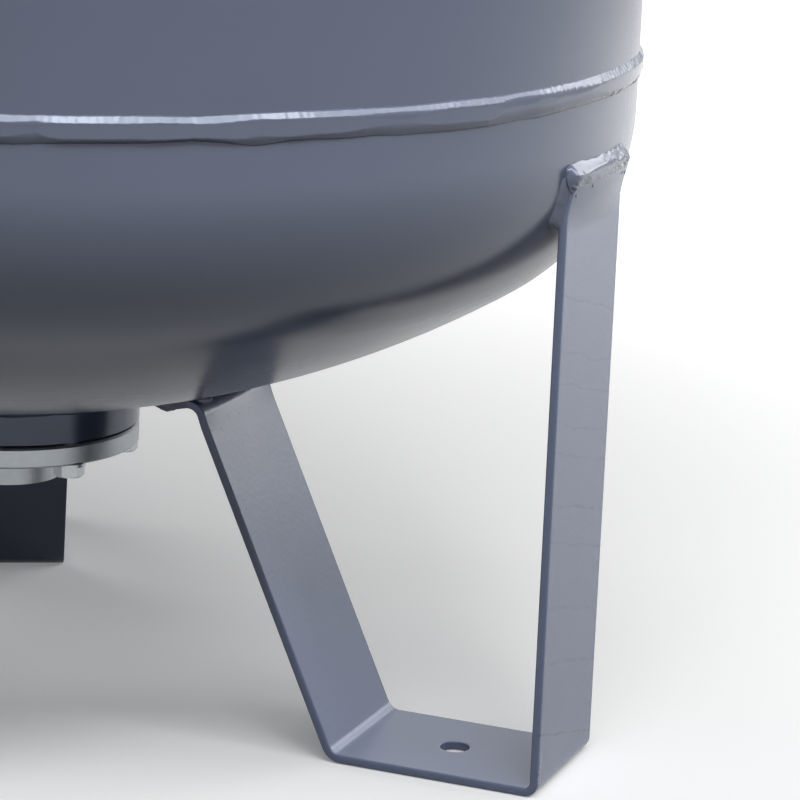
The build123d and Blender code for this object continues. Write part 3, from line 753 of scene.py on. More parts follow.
# Corners and headings of the bar's outer side, and where each tab comes nearest the head
def legLayout():
    thickness, fitUp = legLook["thickness"], legLook["fitUp"]
    face = vessel["radius"] - legLook["inset"]
    toe, heel = np.array([face, 0.0]), np.array([face - legLook["baseLength"], 0.0])
    reach = legLook["innerContact"]
    tilt = math.asin(reach / vessel["crown"])
    inner = step((reach, lowCrown - math.sqrt(vessel["crown"] ** 2 - reach ** 2)), tilt, 0, -fitUp)
    innerCorner = step(inner, tilt, legLook["innerTab"] / 2, -thickness)
    innerEnd = step(innerCorner, tilt, -legLook["innerTab"])
    slope = math.atan2(heel[1] - innerCorner[1], heel[0] - innerCorner[0])
    lean = math.radians(legLook["outerLean"])
    upright = math.pi / 2 - lean
    outer = step((knuckleRing + vessel["knuckle"] * math.cos(lean),
                  lowKnuckle - vessel["knuckle"] * math.sin(lean)), upright, 0, -fitUp)
    outerCorner = meeting(toe, math.pi / 2, step(outer, upright, 0, -thickness), upright)
    outerEnd = step(outerCorner, upright, legLook["outerTab"])
    corners = [innerEnd, innerCorner, heel, toe, outerCorner, outerEnd]
    return corners, [tilt, slope, 0.0, math.pi / 2, upright], inner, outer


legCorners, legHeadings, innerContact, outerContact = legLayout()


# Stations along the bar's middle line: straight runs at an even spacing and arcs every five degrees. Each
# row holds radius, height, heading and the length so far. The base's run is cut to suit the anchor hole.
def legStations():
    half = legLook["thickness"] / 2
    middles = [step(legCorners[0], legHeadings[0], 0, half)]
    for k in range(1, 5):
        before, after = legHeadings[k - 1], legHeadings[k]
        middles.append(meeting(step(legCorners[k], before, 0, half), before,
                               step(legCorners[k], after, 0, half), after))
    middles.append(step(legCorners[5], legHeadings[4], 0, half))
    rows, marks = [], {}
    start = middles[0]
    for k in range(5):
        heading = legHeadings[k]
        if k < 4:
            turn = legHeadings[k + 1] - heading
            radius = legLook["bends"][k] + half
            setback = radius * abs(math.tan(turn / 2))
            end = step(middles[k + 1], heading, -setback)
        else:
            end = step(middles[5], heading, -legLook["hidden"])
        length = float(np.hypot(*(end - start)))
        cuts = np.linspace(0, length, max(2, int(round(length / legLook["spacing"])) + 1))
        if k == 2:
            reach, cells = legLook["holeReach"], legLook["holeCells"]
            centre = legCorners[2][0] + legLook["holeFromHeel"] - start[0]
            cuts = np.concatenate([np.linspace(0, centre - reach, 6)[:-1],
                                   np.linspace(centre - reach, centre + reach, cells + 1),
                                   np.linspace(centre + reach, length, 6)[1:]])
            marks["hole"] = (len(rows) + 5, len(rows) + 5 + cells, float(step(start, heading, centre)[0]))
        marks[k] = (len(rows), len(rows) + len(cuts) - 1)
        for cut in cuts:
            rows.append([*step(start, heading, cut), heading])
        if k < 4:
            count = max(4, int(abs(math.degrees(turn)) / 5))
            side = math.copysign(1, turn)
            centre = step(end, heading, 0, side * radius)
            for part in np.arange(1, count) / count:
                now = heading + turn * part
                rows.append([*step(centre, now, 0, -side * radius), now])
            start = step(centre, legHeadings[k + 1], 0, -side * radius)
    rows = np.array(rows)
    lengths = np.concatenate([[0], np.cumsum(np.hypot(*np.diff(rows[:, :2], axis=0).T))])
    return np.concatenate([rows, lengths[:, None]], 1), marks


# The bar's section: (across, out of the left side), flats with rounded edges between. The flats' middle
# points are those of the square round the hole.
def legSection():
    halfWidth, half, edge = legLook["width"] / 2, legLook["thickness"] / 2, legLook["edge"]
    flat, reach = halfWidth - edge, legLook["holeReach"]
    middle = np.linspace(-reach, reach, legLook["holeCells"] + 1)
    spots = np.concatenate([[-flat, -flat + 0.9, -31, -25.5], middle, [25.5, 31, flat - 0.9, flat]])
    turn = np.linspace(0, np.pi / 2, 5)[1:-1]
    corner = np.stack([np.sin(turn), np.cos(turn)], -1) * edge
    top = np.stack([spots, np.full(len(spots), half)], -1)
    right = np.concatenate([np.array([flat, half - edge]) + corner,
                            [[halfWidth, half - edge], [halfWidth, edge - half]],
                            np.array([flat, edge - half]) + corner[::-1] * [1, -1]])
    return np.concatenate([top, right, top[::-1] * [1, -1], -right]), len(spots), len(right)


# The bar as a grid of stations by section, and its map. Each end has five rows more: two that close it flat
# and three that round its edge, all given as how far back they lie and how much smaller they are, in mm.
def legGrid():
    stations, marks = legStations()
    loop, flats, sides = legSection()
    edge = legLook["edge"]
    rounding = [(0, edge), (-0.2 * edge, 0.4 * edge), (-0.55 * edge, 0.12 * edge)]

    def ring(row, back, inset, flat=1.0):
        r, z, heading, length = stations[row]
        shrink = 1 - inset / np.array([legLook["width"] / 2, legLook["thickness"] / 2])
        forward = -back if row == 0 else back
        return step((r, z), heading, forward), heading, loop * shrink * [1, flat], length + forward

    last = len(stations) - 1
    rows = [ring(0, 0, 0.9, 0.0), ring(0, 0, 0.9)]
    rows += [ring(0, *pair) for pair in rounding] + [ring(0, -edge, 0)]
    rows += [(np.array([r, z]), heading, loop, length) for r, z, heading, length in stations[1:-1]]
    rows += [ring(last, -edge, 0)] + [ring(last, *pair) for pair in rounding[::-1]]
    rows += [ring(last, 0, 0.9), ring(last, 0, 0.9, 0.0)]
    lead = 2 + len(rounding)
    centres, headings, sections, lengths = (np.array([row[k] for row in rows]) for k in range(4))
    # Dish: each tab's lift grows with the square of the distance across, over twice its radius
    innerBend, outerBend = stations[marks[0][1], 3], stations[marks[4][0], 3]
    inner = (1 - ease(lengths, innerBend - 1, innerBend + 16)) / (2 * legLook["innerBow"])
    outer = ease(lengths, outerBend - 4, outerBend + 9) / (2 * legLook["outerBow"])
    lift = sections[:, :, 1] + (inner + outer)[:, None] * sections[:, :, 0] ** 2
    r = centres[:, :1] - np.sin(headings)[:, None] * lift
    z = centres[:, 1:] + np.cos(headings)[:, None] * lift
    grid = np.stack([r, sections[:, :, 0], z], -1)
    # Along, the map is so counted that it is the height above the floor on the upright part
    upright = stations[marks[3][0]]
    across = np.where(loop[:, 1] > 0, loop[:, 0] + innerSide, loop[:, 0])
    along = lengths - upright[3] + upright[1]
    uv = np.stack(np.broadcast_arrays(across[None, :], along[:, None]), -1)
    return grid, uv, marks, lead, flats, sides


# Rings from a square patch's border in to the hole: each ring moves evenly from the border to the circle
def holePatch(border, centre, z, radius, rings):
    angles = np.arctan2(border[:, 1] - centre[1], border[:, 0] - centre[0])
    even = angles[0] + np.linspace(0, 2 * np.pi, len(border), endpoint=False) * np.sign(
        np.sin(angles[1] - angles[0]))
    circle = np.stack([centre[0] + radius * np.cos(even), centre[1] + radius * np.sin(even),
                       np.full(len(border), z)], -1)
    share = (np.arange(1, rings + 1) / rings)[:, None, None]
    share = 1 - (1 - share) ** 1.2
    return border[None] * (1 - share) + circle[None] * share, even


# The rim of a patch of cells, from one corner round to it again, as (row, column)
def patchRim(first, last, start, stop):
    way = 1 if stop > start else -1
    there = [(first, k) for k in range(start, stop, way)] + [(row, stop) for row in range(first, last)]
    back = [(last, k) for k in range(stop, start, -way)] + [(row, start) for row in range(last, first, -1)]
    return there + back


# The bar with its anchor hole: on both faces the square round the hole gives way to rings, then three rings
# round off the edge, and the wall joins the two faces
def legMesh():
    grid, uv, marks, lead, flats, sides = legGrid()
    rows, columns = grid.shape[:2]
    flatGrid, flatMap = grid.reshape(-1, 3), uv.reshape(-1, 2)
    quads = gridQuads(rows, columns, False, True)
    first, last, centre = marks["hole"]
    first, last = first + lead, last + lead
    low, high = 4, 4 + legLook["holeCells"]
    under = flats + sides
    row, column = quads[:, 0] // columns, quads[:, 0] % columns
    inColumns = ((column >= low) & (column < high)) | ((column >= low + under) & (column < high + under))
    parts = [quads[~((row >= first) & (row < last) & inColumns)]]
    points, uvs, walls = [flatGrid], [flatMap], []
    count = rows * columns
    radius, edge = legLook["hole"] / 2, legLook["holeEdge"]
    for start, stop, z, way in ((low, high, legLook["thickness"], 1), (high + under, low + under, 0.0, -1)):
        index = np.array([r * columns + k for r, k in patchRim(first, last, start, stop)])
        border = flatGrid[index]
        ringPoints, even = holePatch(border, (centre, 0.0), z, radius + edge, 7)
        turn = np.linspace(0, np.pi / 2, 4)[1:, None]
        reach = radius + edge - edge * np.sin(turn)
        rounded = np.stack([centre + reach * np.cos(even), reach * np.sin(even),
                            z - way * edge * (1 - np.cos(turn)) + 0 * even], -1)
        stack = np.concatenate([ringPoints, rounded])
        n = len(index)
        ids = np.concatenate([index[None], count + np.arange(len(stack) * n).reshape(len(stack), n)])
        points.append(stack.reshape(-1, 3))
        moved = np.concatenate([np.zeros((1, n, 2)), (stack - border[None])[1:, :, [1, 0]]])
        uvs.append((flatMap[index][None] + moved * [way, 1]).reshape(-1, 2))
        count += len(stack) * n
        after = np.roll(ids, -1, axis=1)
        parts.append(np.stack([ids[:-1], after[:-1], after[1:], ids[1:]], -1).reshape(-1, 4)[:, ::way])
        walls.append(ids[-1])
    top, bottom = walls
    parts.append(np.stack([top, np.roll(top, -1), np.roll(bottom, -1), bottom], -1))
    return np.concatenate(points), np.concatenate(parts), np.concatenate(uvs)


def spun(points, degrees):
    c, s = math.cos(math.radians(degrees)), math.sin(math.radians(degrees))
    return points @ np.array([[c, s, 0], [-s, c, 0], [0, 0, 1]])


def makeLegs():
    points, quads, uv = legMesh()
    for index in range(legLook["count"]):
        name = f"leg_{index + 1}"
        piece = makePiece(name + "Bar", spun(points, 120 * index), quads, finishes["barEnamel"],
                          sharp=50, uv=uv)
        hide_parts(name)


makeLegs()
print("legs made")


# Welds of the legs' tabs: a concave fillet down each side, and a convex bead laid over the tab's end, smooth
# where it was begun and lumpy where the torch ran out of reach. Distances are in mm on the tab's face: past
# counts beyond the tab's free end, across from the bar's middle.

weldLook = {
    "outer": {
        "sideFrom": -24.0, "sideTo": 1.0, "sideReach": 6.6, "bow": legLook["outerBow"],
        "lap": 3.0,             # the end bead's lower edge on the tab, and its toe on the head
        "toe": 6.9,
        "brow": 2.3,            # where its slope begins
        "crown": 0.6,
        "spans": (41.3, 36.2),  # how far it reaches on the near and the far side
        "bulb": 4.5,            # length of its rounded ends
        "limit": 303.36,        # no point lies further out than this
        "sections": 280,
        # small pits: past, across, depth, width
        "pits": [(2.4, -19.0, 0.5, 0.7), (3.0, -31.5, 0.45, 0.6), (1.4, -9.0, 0.3, 0.9)],
        # drops of spatter: past, across, radius
        "drops": [(-7.2, -33.4, 0.8), (-4.4, -17.0, 0.8), (-5.2, 27.0, 0.7), (-6.2, 34.0, 0.8)],
        "blobs": [],
    },
    "inner": {
        "sideFrom": -15.0, "sideTo": 1.0, "sideReach": 5.0, "bow": legLook["innerBow"],
        "lap": 3.4, "toe": 6.5, "brow": -1.0, "crown": 0.9, "spans": (40.0, 40.0), "bulb": 5.5,
        "limit": 400.0, "sections": 170,
        "pits": [], "drops": [(-6.0, -20.0, 0.5), (-5.0, 12.0, 0.4)],
        # lumps in the crease beyond the bend: radius, side, height, then half sizes
        "blobs": [(122.3, -35.6, 166.6, 4.4, 3.4, 2.5), (121.5, 35.0, 166.4, 4.0, 3.6, 2.4)],
    },
}
# The end bead's skin, all in mm. Crumples are (height, wavelength).
skinLook = {
    "smoothTo": (-7, 0),        # across: smooth before the first, rough after the second
    "crumples": ((0.34, 3.6), (0.30, 2.1)),
    "cornerCrumple": (0.34, 2.0),
    "hangs": (3.4, 4.5),        # how far the near end hangs down the tab, and the half width of that lobe
    "ripple": (0.01, 2.3),
    "rounding": 0.8,            # the corner at the limit is rounded over this length
    "root": 0.8,                # how deep the welds' edges lie in the head's wall
    "calm": 0.45,               # how rough the welds of the other legs are beside those of leg 1
}


# The tab's outer face carried on past its end and sides, dished as the bar is
def tabFace(tab, past, across):
    end, heading, way = legCorners[5], legHeadings[4], 1
    if tab == "inner":
        end, heading, way = legCorners[0], legHeadings[0], -1
    c, s = math.cos(heading), math.sin(heading)
    dish = across ** 2 / (2 * weldLook[tab]["bow"])
    return np.stack([end[0] + way * past * c - dish * s, across + 0 * past,
                     end[1] + way * past * s + dish * c], -1)


# Side fillet: across the section the height over the head falls as (1 - q)^1.7, so it is hollow, and at its
# lower end it narrows as a quarter circle does
def sideFillet(tab, side, seed):
    look = weldLook[tab]
    past = np.linspace(look["sideFrom"], look["sideTo"], 70)[:, None]
    q = np.linspace(0, 1, 13)[None, :]
    inRound = np.clip((look["sideFrom"] + 3.5 - past) / 3.5, 0, 1)
    reach = look["sideReach"] * np.sqrt(1 - 0.96 * inRound ** 2) * (1 + 0.05 * wander(past, 12, seed))
    edge = legLook["width"] / 2 - 0.3
    lift = fromHead(tabFace(tab, past, side * edge + 0 * past))[0] - 0.55
    over = lift * (1 - q) ** 1.7 * (1 + 0.006 * np.sin(past * 2 * np.pi / 2.4 + q * 2))
    over = over - 0.15 * ease(q, 0.75, 1) + 0.06 * crumple(past, q * 6, 5, seed + 1) * q * (1 - q) * 4
    top = seatOnHead(tabFace(tab, past, side * (edge + reach * q)), over)
    root, inner = -skinLook["root"], edge - 1.2
    rootAcross = side * np.array([edge + 0.9 * look["sideReach"], edge, inner])[None, :]
    under = seatOnHead(tabFace(tab, past, np.broadcast_to(rootAcross, (len(past), 3))), root)
    under[:, :1] = seatOnHead(top[:, -1:], root)
    inside = seatOnHead(tabFace(tab, past, side * inner + 0 * past), lift)
    return capped(np.concatenate([top, under, inside], 1))


# End bead: over the head its height falls from the tab's face to the toe as 1 - t^1.05, t from 0 at the brow
# to 1 at the toe, so its upper side is one slope. The crown adds 1 - |q|^1.5, q from -1 to 1 across the
# section, so it runs out flat. The bead is rounded off at both ends, and its far half, which the torch hardly
# reached, is left crumpled. Wildness scales the crumples.
def endBead(tab, seed, wildness):
    look = weldLook[tab]
    near, far = look["spans"]
    # sections lie closer at the two ends, and rows at the two edges
    spread = np.linspace(-1, 1, look["sections"])[:, None]
    spread = np.sign(spread) * (1 - (1 - np.abs(spread)) ** 1.15)
    span = np.where(spread < 0, near, far)
    across = span * spread
    q = np.linspace(-1, 1, 42)[None, :]
    q = np.sign(q) * (1 - (1 - np.abs(q)) ** 1.2)
    rim = np.sqrt(1 - 0.985 * np.clip((np.abs(across) - span + look["bulb"]) / look["bulb"], 0, 1) ** 2)
    rough = 0.05 + 0.95 * ease(across, *skinLook["smoothTo"])
    low = -look["lap"] + 0.35 * wander(across, 16, seed) + rough * 0.5 * wander(across, 5, seed + 1)
    drop, lobe = skinLook["hangs"]
    low = low - drop * hump(across, lobe - near, lobe)
    high = look["toe"] + 0.3 * wander(across, 20, seed + 2) + rough * 0.4 * wander(across, 6, seed + 3)
    past = (low + high) / 2 + (high - low) / 2 * rim * q
    halfWidth = legLook["width"] / 2
    onTab = np.broadcast_to(np.clip(across, -halfWidth, halfWidth), past.shape)
    fall = np.clip((past - look["brow"]) / (look["toe"] + 0.3 - look["brow"]), 0, 1)
    sideFall = np.clip((np.abs(across) - span + 5.8) / 6.0, 0, 1)
    body = (1 - np.abs(q) ** 1.5) * rim
    over = fromHead(tabFace(tab, past, onTab))[0] * (1 - fall ** 1.05) * (1 - sideFall ** 2) ** 0.6
    over = over + look["crown"] * body
    # the lower edge is rough all along
    lower = 0.3 * (1 - ease(past, look["brow"] - 2.0, look["brow"]))
    (size, length), (fineSize, fineLength) = skinLook["crumples"]
    skin = size * crumple(across * 0.45, past, length, seed + 4)
    skin = skin + fineSize * crumple(across * 0.4, past, fineLength, seed + 5)
    over = over + wildness * body * np.minimum(rough + lower, 1) * skin
    size, length = skinLook["ripple"]
    over = over + body * size * np.sin(2 * np.pi * (across + 0.12 * past ** 2) / length)
    size, length = skinLook["cornerCrumple"]
    corner = hump(across, -near + 5.0, 3.5) * (1 - ease(past, -3.5, -1.5)) * (1 - q ** 8)
    over = over + wildness * size * corner * crumple(across * 0.5, past, length, seed + 6)
    for pitPast, pitAcross, depth, width in look["pits"]:
        over = over - depth * np.exp(-((past - pitPast) ** 2 + (across - pitAcross) ** 2) / width ** 2)
    over = over - 0.12 * np.abs(q) ** 10
    top = seatOnHead(tabFace(tab, past, np.broadcast_to(across, past.shape)), over)
    soft, root = skinLook["rounding"], -skinLook["root"]
    start = look["limit"] - soft
    excess = np.maximum(top[..., 0] - start, 0)
    top[..., 0] = np.minimum(top[..., 0], start) + soft * (1 - np.exp(-excess / soft))
    headEdge = seatOnHead(top[:, -1:], root)
    middle = seatOnHead(top[:, 18:19], root)
    tabEdge = seatOnHead(top[:, :1], np.maximum(over[:, :1] - 1.5, root))
    return capped(np.concatenate([top, headEdge, middle, tabEdge], 1))


# A drop or lump: an ellipsoid with an uneven skin
def lump(centre, sizes, seed, rows=9, columns=14, uneven=0.12):
    down = np.linspace(0, np.pi, rows)[:, None]
    around = fullTurn(columns)[None, :]
    ball = np.stack([np.sin(down) * np.cos(around), np.sin(down) * np.sin(around),
                     np.cos(down) + 0 * around], -1)
    skin = 1 + uneven * crumple(ball[..., 0] * 6 + ball[..., 2] * 3, ball[..., 1] * 6, 7, seed)[..., None]
    return np.asarray(centre) + np.asarray(sizes) * ball * skin


# Several closed strips as one set of points and quads
def joined(grids):
    points, quads, count = [], [], 0
    for grid in grids:
        rows, columns = grid.shape[:2]
        points.append(grid.reshape(-1, 3))
        quads.append(gridQuads(rows, columns, False, True) + count)
        count += rows * columns
    return np.concatenate(points), np.concatenate(quads)


# Turns a strip's rows round if it encloses a negative volume, so that all strips of a piece face outwards
def outwards(grid):
    quads = gridQuads(*grid.shape[:2], False, True)
    a, b, c, d = (grid.reshape(-1, 3)[quads[:, k]] for k in range(4))
    middle = grid.reshape(-1, 3).mean(0)
    a, b, c, d = a - middle, b - middle, c - middle, d - middle
    volume = (np.einsum("ij,ij->i", a, np.cross(b, c)) + np.einsum("ij,ij->i", a, np.cross(c, d))).sum()
    return grid if volume > 0 else grid[::-1]


def makeTabWelds():
    for index in range(legLook["count"]):
        for tab in ("outer", "inner"):
            look = weldLook[tab]
            seed = 100 + 20 * index + (7 if tab == "inner" else 0)
            strips = [sideFillet(tab, -1, seed), sideFillet(tab, 1, seed + 2),
                      endBead(tab, seed + 4, 1.0 if index == 0 else skinLook["calm"])]
            for k, (past, across, size) in enumerate(look["drops"]):
                spot = tabFace(tab, np.array(past), np.array(across))
                # flattened against the tab
                strips.append(lump(spot, (0.4 * size, 1.3 * size, 1.2 * size), seed + 30 + k, 8, 12))
            for k, (r, y, z, a, b, c) in enumerate(look["blobs"]):
                strips.append(lump((r, y, z), (a, b, c), seed + 50 + k, 22, 34))
            points, quads = joined([outwards(strip) for strip in strips])
            name = f"leg_{index + 1}_{tab}_weld"
            piece = makePiece(name + "Bead", spun(points, 120 * index), quads, finishes["weldEnamel"],
                              sharp=75)
            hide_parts(name)


makeTabWelds()
print("leg welds made")


# Fillets round the ring below and the collar on top: from the collar's wall to the head's crown along a chord
# that bulges by bulge * 4q(1 - q), with ripples that trail behind the torch. Lengths are in mm.
collarWelds = {
    "flange_ring_weld": {"side": -1, "collar": 65.0, "leg": 5.0, "bulge": 0.8, "ripple": 1.7, "rise": 0.035,
                         "sections": 1047, "seed": 301},
    "valve_boss_weld": {"side": 1, "collar": 17.0, "leg": 4.5, "bulge": 0.7, "ripple": 1.3, "rise": 0.03,
                        "sections": 600, "seed": 311},
}


def makeCollarWeld(name, look):
    side, collar, leg, seed = look["side"], look["collar"], look["leg"], look["seed"]
    centre = highCrown if side > 0 else lowCrown

    def crownAt(radius):
        return centre + side * np.sqrt(vessel["crown"] ** 2 - radius ** 2)

    count = look["sections"]
    angles = fullTurn(count)
    turns = np.round(2 * np.pi * (collar + leg / 2) / look["ripple"])
    uneven = 0.12 * np.sin(5 * angles + seed) + 0.08 * np.sin(13 * angles + 2 * seed)
    uneven = (uneven + 0.05 * np.sin(31 * angles + 3 * seed))[:, None]
    q = np.linspace(0, 1, 15)[None, :]
    reach = leg * (0.93 + uneven * 0.5)
    toe = collar + reach
    low = crownAt(collar) + side * leg * (0.93 - uneven * 0.4)
    swell = look["bulge"] * 4 * q * (1 - q)
    wave = np.sin(turns * angles[:, None] + 3.2 * (q - 0.5) ** 2 + uneven * 6)
    ripple = look["rise"] * 4 * q * (1 - q) * wave
    push = (swell + ripple) / math.sqrt(2)
    radius = collar + reach * q + push
    height = low * (1 - q) + crownAt(toe) * q + side * push
    root = np.stack([toe[:, 0], np.full(count, collar - 0.5), np.full(count, collar - 0.5)], -1)
    rootHeight = np.stack([crownAt(toe[:, 0]) - side * 0.5, np.full(count, crownAt(collar) - side * 0.5),
                           low[:, 0]], -1)
    radius, height = np.concatenate([radius, root], 1), np.concatenate([height, rootHeight], 1)
    grid = np.stack([radius * np.cos(angles)[:, None], radius * np.sin(angles)[:, None], height], -1)
    piece = makePiece(name + "Bead", grid, gridQuads(count, grid.shape[1], True, True),
                      finishes["weldEnamel"], sharp=70)
    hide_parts(name)


for weldName, weldSettings in collarWelds.items():
    makeCollarWeld(weldName, weldSettings)
print("collar welds made")


# Valve body: shank, hexagon and threaded stem, turned from one bar. Every line of the profile is a radius by
# angle: round ones are constant, the hexagon's is apothem / cos(angle from a flat's middle) but no more than
# the chamfer's cone, and the thread's falls by a triangle wave of (height / pitch - turn). Lengths are in mm.
valveLook = {
    "shank": 9.3, "shankLength": 13.0, "sealThickness": 1.5,
    "apothem": 12.0, "hexHeight": 8.0, "chamfer": 0.86, "chamferFrom": 12.4,
    "stem": 3.85, "pitch": 0.794, "threadDepth": 0.42, "bore": 2.6,
    "angles": 96, "stemRows": 150,
}


def makeValveBody():
    low, high = (corner[2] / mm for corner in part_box("valve_body"))
    hexLow = low + valveLook["shankLength"] + valveLook["sealThickness"]
    hexHigh = hexLow + valveLook["hexHeight"]
    count = valveLook["angles"]
    angles = fullTurn(count)[None, :]
    flat = valveLook["apothem"] / np.cos((angles % (np.pi / 3)) - np.pi / 6)
    stemRows = np.linspace(hexHigh, high - 0.35, valveLook["stemRows"])[:, None]
    wave = np.abs((stemRows / valveLook["pitch"] - angles / (2 * np.pi)) % 1 - 0.5) * 2
    cut = valveLook["threadDepth"] * wave * ease(stemRows, hexHigh + 1.0, hexHigh + 2.0)
    cut = cut * (1 - 0.6 * ease(stemRows, high - 0.9, high - 0.4))
    rows = [(valveLook["bore"], low), (valveLook["shank"] - 0.8, low), (valveLook["shank"], low + 0.8),
            (valveLook["shank"], hexLow), (np.minimum(flat, valveLook["apothem"]), hexLow)]
    for part in (0, 1):
        for share in (0.0, 0.33, 0.66, 1.0)[::1 - 2 * part]:
            limit = valveLook["chamferFrom"] + share * valveLook["chamfer"] * math.tan(math.radians(60))
            back = share * valveLook["chamfer"]
            rows.append((np.minimum(flat, limit), hexHigh - back if part else hexLow + back))
    rows.append((np.minimum(flat, valveLook["apothem"] - 0.3), hexHigh))
    rows.append((np.minimum(flat, 5.2), hexHigh))
    bore = valveLook["bore"]
    mouth = [(valveLook["stem"] - 0.45, high), (bore + 0.2, high), (bore, high - 0.2)]
    radius = np.concatenate([np.broadcast_to(r, (1, count)) for r, _ in rows] + [valveLook["stem"] - cut]
                            + [np.full((1, count), r) for r, _ in mouth])
    height = np.concatenate([np.full((1, count), z) for _, z in rows] + [stemRows + 0 * angles]
                            + [np.full((1, count), z) for _, z in mouth])
    grid = np.stack([radius * np.cos(angles), radius * np.sin(angles), height], -1)
    piece = makePiece("valve_bodyTurned", grid, gridQuads(grid.shape[0], count, True, True),
                      finishes["turnedBrass"], sharp=24)
    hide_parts("valve_body")


makeValveBody()
print("valve body made")


# Bladder: a moulded bag. Its outside runs up the neck, round the flare, along both domes and up to the pole;
# its inside is that line moved in by the thickness. The body has slack in it: the radius falls by a few
# sines, each with its share, its waves in a turn, its phase and its run in mm upwards. Two mould lines stand
# proud.
bladderLook = {
    "gap": 30.0, "topDrop": 60.0, "thickness": 3.0, "neck": 39.0, "flare": 16.0,
    "rim": 50.0, "rimThickness": 5.0,
    "slack": 1.6,           # mm that the folds fall in
    "folds": ((0.4, 3, 0.4, 260), (0.3, 5, 2.1, -190), (0.2, 9, 4.0, 140), (0.1, 17, 1.2, -90)),
    "mouldLine": (0.35, 1.6),   # mm high, and half as wide
}


def makeBladder():
    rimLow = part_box("bladder")[0][2] / mm
    rimHigh = rimLow + bladderLook["rimThickness"]
    inset = vessel["wall"] + bladderLook["gap"]
    flare, neck = bladderLook["flare"], bladderLook["neck"]
    ball = vessel["crown"] - inset
    flareCentre = np.array([neck + flare, lowCrown - math.sqrt((ball + flare) ** 2 - (neck + flare) ** 2)])
    touch = math.atan2(lowCrown - flareCentre[1], -flareCentre[0])
    turn = np.linspace(np.pi, touch, 9)
    sets = [np.stack([np.full(5, neck), np.linspace(rimHigh, flareCentre[1], 6)[:-1]], -1)]
    ways = [np.broadcast_to([1.0, 0.0], (5, 2))]
    sets.append(flareCentre + flare * np.stack([np.cos(turn), np.sin(turn)], -1))
    ways.append(-np.stack([np.cos(turn), np.sin(turn)], -1))
    start = math.asin((neck + flare) / (ball + flare))
    for side, centreHeight, knuckleHeight, first in ((-1, lowCrown, lowKnuckle, start),
                                                     (1, highCrown - bladderLook["topDrop"],
                                                      highKnuckle - bladderLook["topDrop"], 0.0)):
        lean = np.linspace(first, np.pi / 2 - knuckleSweep, 30)[1 if side < 0 else 0:-1]
        crownWay = np.stack([np.sin(lean), side * np.cos(lean)], -1)
        bend = np.linspace(knuckleSweep, 0, 20)
        knuckleWay = np.stack([np.cos(bend), side * np.sin(bend)], -1)
        crownLine = [0, centreHeight] + ball * crownWay
        knuckleLine = [knuckleRing, knuckleHeight] + (vessel["knuckle"] - inset) * knuckleWay
        line, way = np.concatenate([crownLine, knuckleLine]), np.concatenate([crownWay, knuckleWay])
        if side < 0:
            cylinder = np.linspace(lowKnuckle, highKnuckle - bladderLook["topDrop"], 42)[1:-1]
            line = np.concatenate([line, np.stack([np.full(40, vessel["radius"] - inset), cylinder], -1)])
            way = np.concatenate([way, np.broadcast_to([1.0, 0.0], (40, 2))])
        else:
            line, way = line[::-1], way[::-1]
        sets.append(line)
        ways.append(way)
    outer, way = np.concatenate(sets), np.concatenate(ways)
    inner = outer - bladderLook["thickness"] * way
    inner[-1, 0] = 0
    low = np.array([[neck - bladderLook["thickness"], rimLow], [bladderLook["rim"], rimLow],
                    [bladderLook["rim"], rimHigh]])
    profile = np.concatenate([outer, inner[::-1], low])
    # angles lie close over the 10 mm at each mould line
    girth = vessel["radius"] - inset
    line = np.linspace(-5, 5, 9) / girth
    angles = np.unique(np.round(np.concatenate([fullTurn(150), line % (2 * np.pi), line + np.pi]), 5))
    # neither domes nor neck are slack
    free = plateau(profile[:, 1], lowKnuckle - 40, lowKnuckle + 120, highKnuckle - 199, highKnuckle - 59)
    free = free * ease(profile[:, 0], 120, 220)
    folds = sum(size * np.sin(count * angles[:, None] + phase + profile[None, :, 1] / run)
                for size, count, phase, run in bladderLook["folds"])
    size, half = bladderLook["mouldLine"]
    fromLine = np.abs(np.abs((angles[:, None] % np.pi) - np.pi / 2) - np.pi / 2) * girth
    push = bladderLook["slack"] * free * (folds - 1) + size * hump(fromLine, 0, half) * free
    radius = profile[None, :, 0] + push
    grid = np.stack([radius * np.cos(angles)[:, None], radius * np.sin(angles)[:, None],
                     np.broadcast_to(profile[None, :, 1], radius.shape)], -1)
    piece = makePiece("bladderMoulded", grid, gridQuads(len(angles), len(profile), True, True),
                      finishes["butylRubber"], sharp=60)
    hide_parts("bladder")


makeBladder()
print("bladder made")


# The valve's spring: round wire along a helix whose pitch closes up a little at both ends. Its foot stands in
# the tank's core.
springLook = {"turns": 6, "wire": 0.2, "closing": 0.3}


def makeSpring():
    (_, _, low), (outer, _, high) = (np.array(corner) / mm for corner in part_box("valve_spring"))
    wire = springLook["wire"]
    t = np.linspace(0, 1, 260)
    angle = 2 * np.pi * springLook["turns"] * t
    share = (1 - springLook["closing"]) * t + springLook["closing"] * ease(t, 0.06, 0.94)
    rise = low + wire + (high - low - 2 * wire) * share
    around = fullTurn(10)[None, :]
    radius = outer - wire + wire * np.cos(around) + 0 * t[:, None]
    grid = np.stack([radius * np.cos(angle)[:, None], radius * np.sin(angle)[:, None],
                     rise[:, None] + wire * np.sin(around)], -1)
    piece = makePiece("valve_springCoil", capped(grid), gridQuads(len(t) + 2, 10, False, True),
                      finishes["springWire"], rides=False)
    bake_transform(piece)
    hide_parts("valve_spring")


makeSpring()
print("spring made")


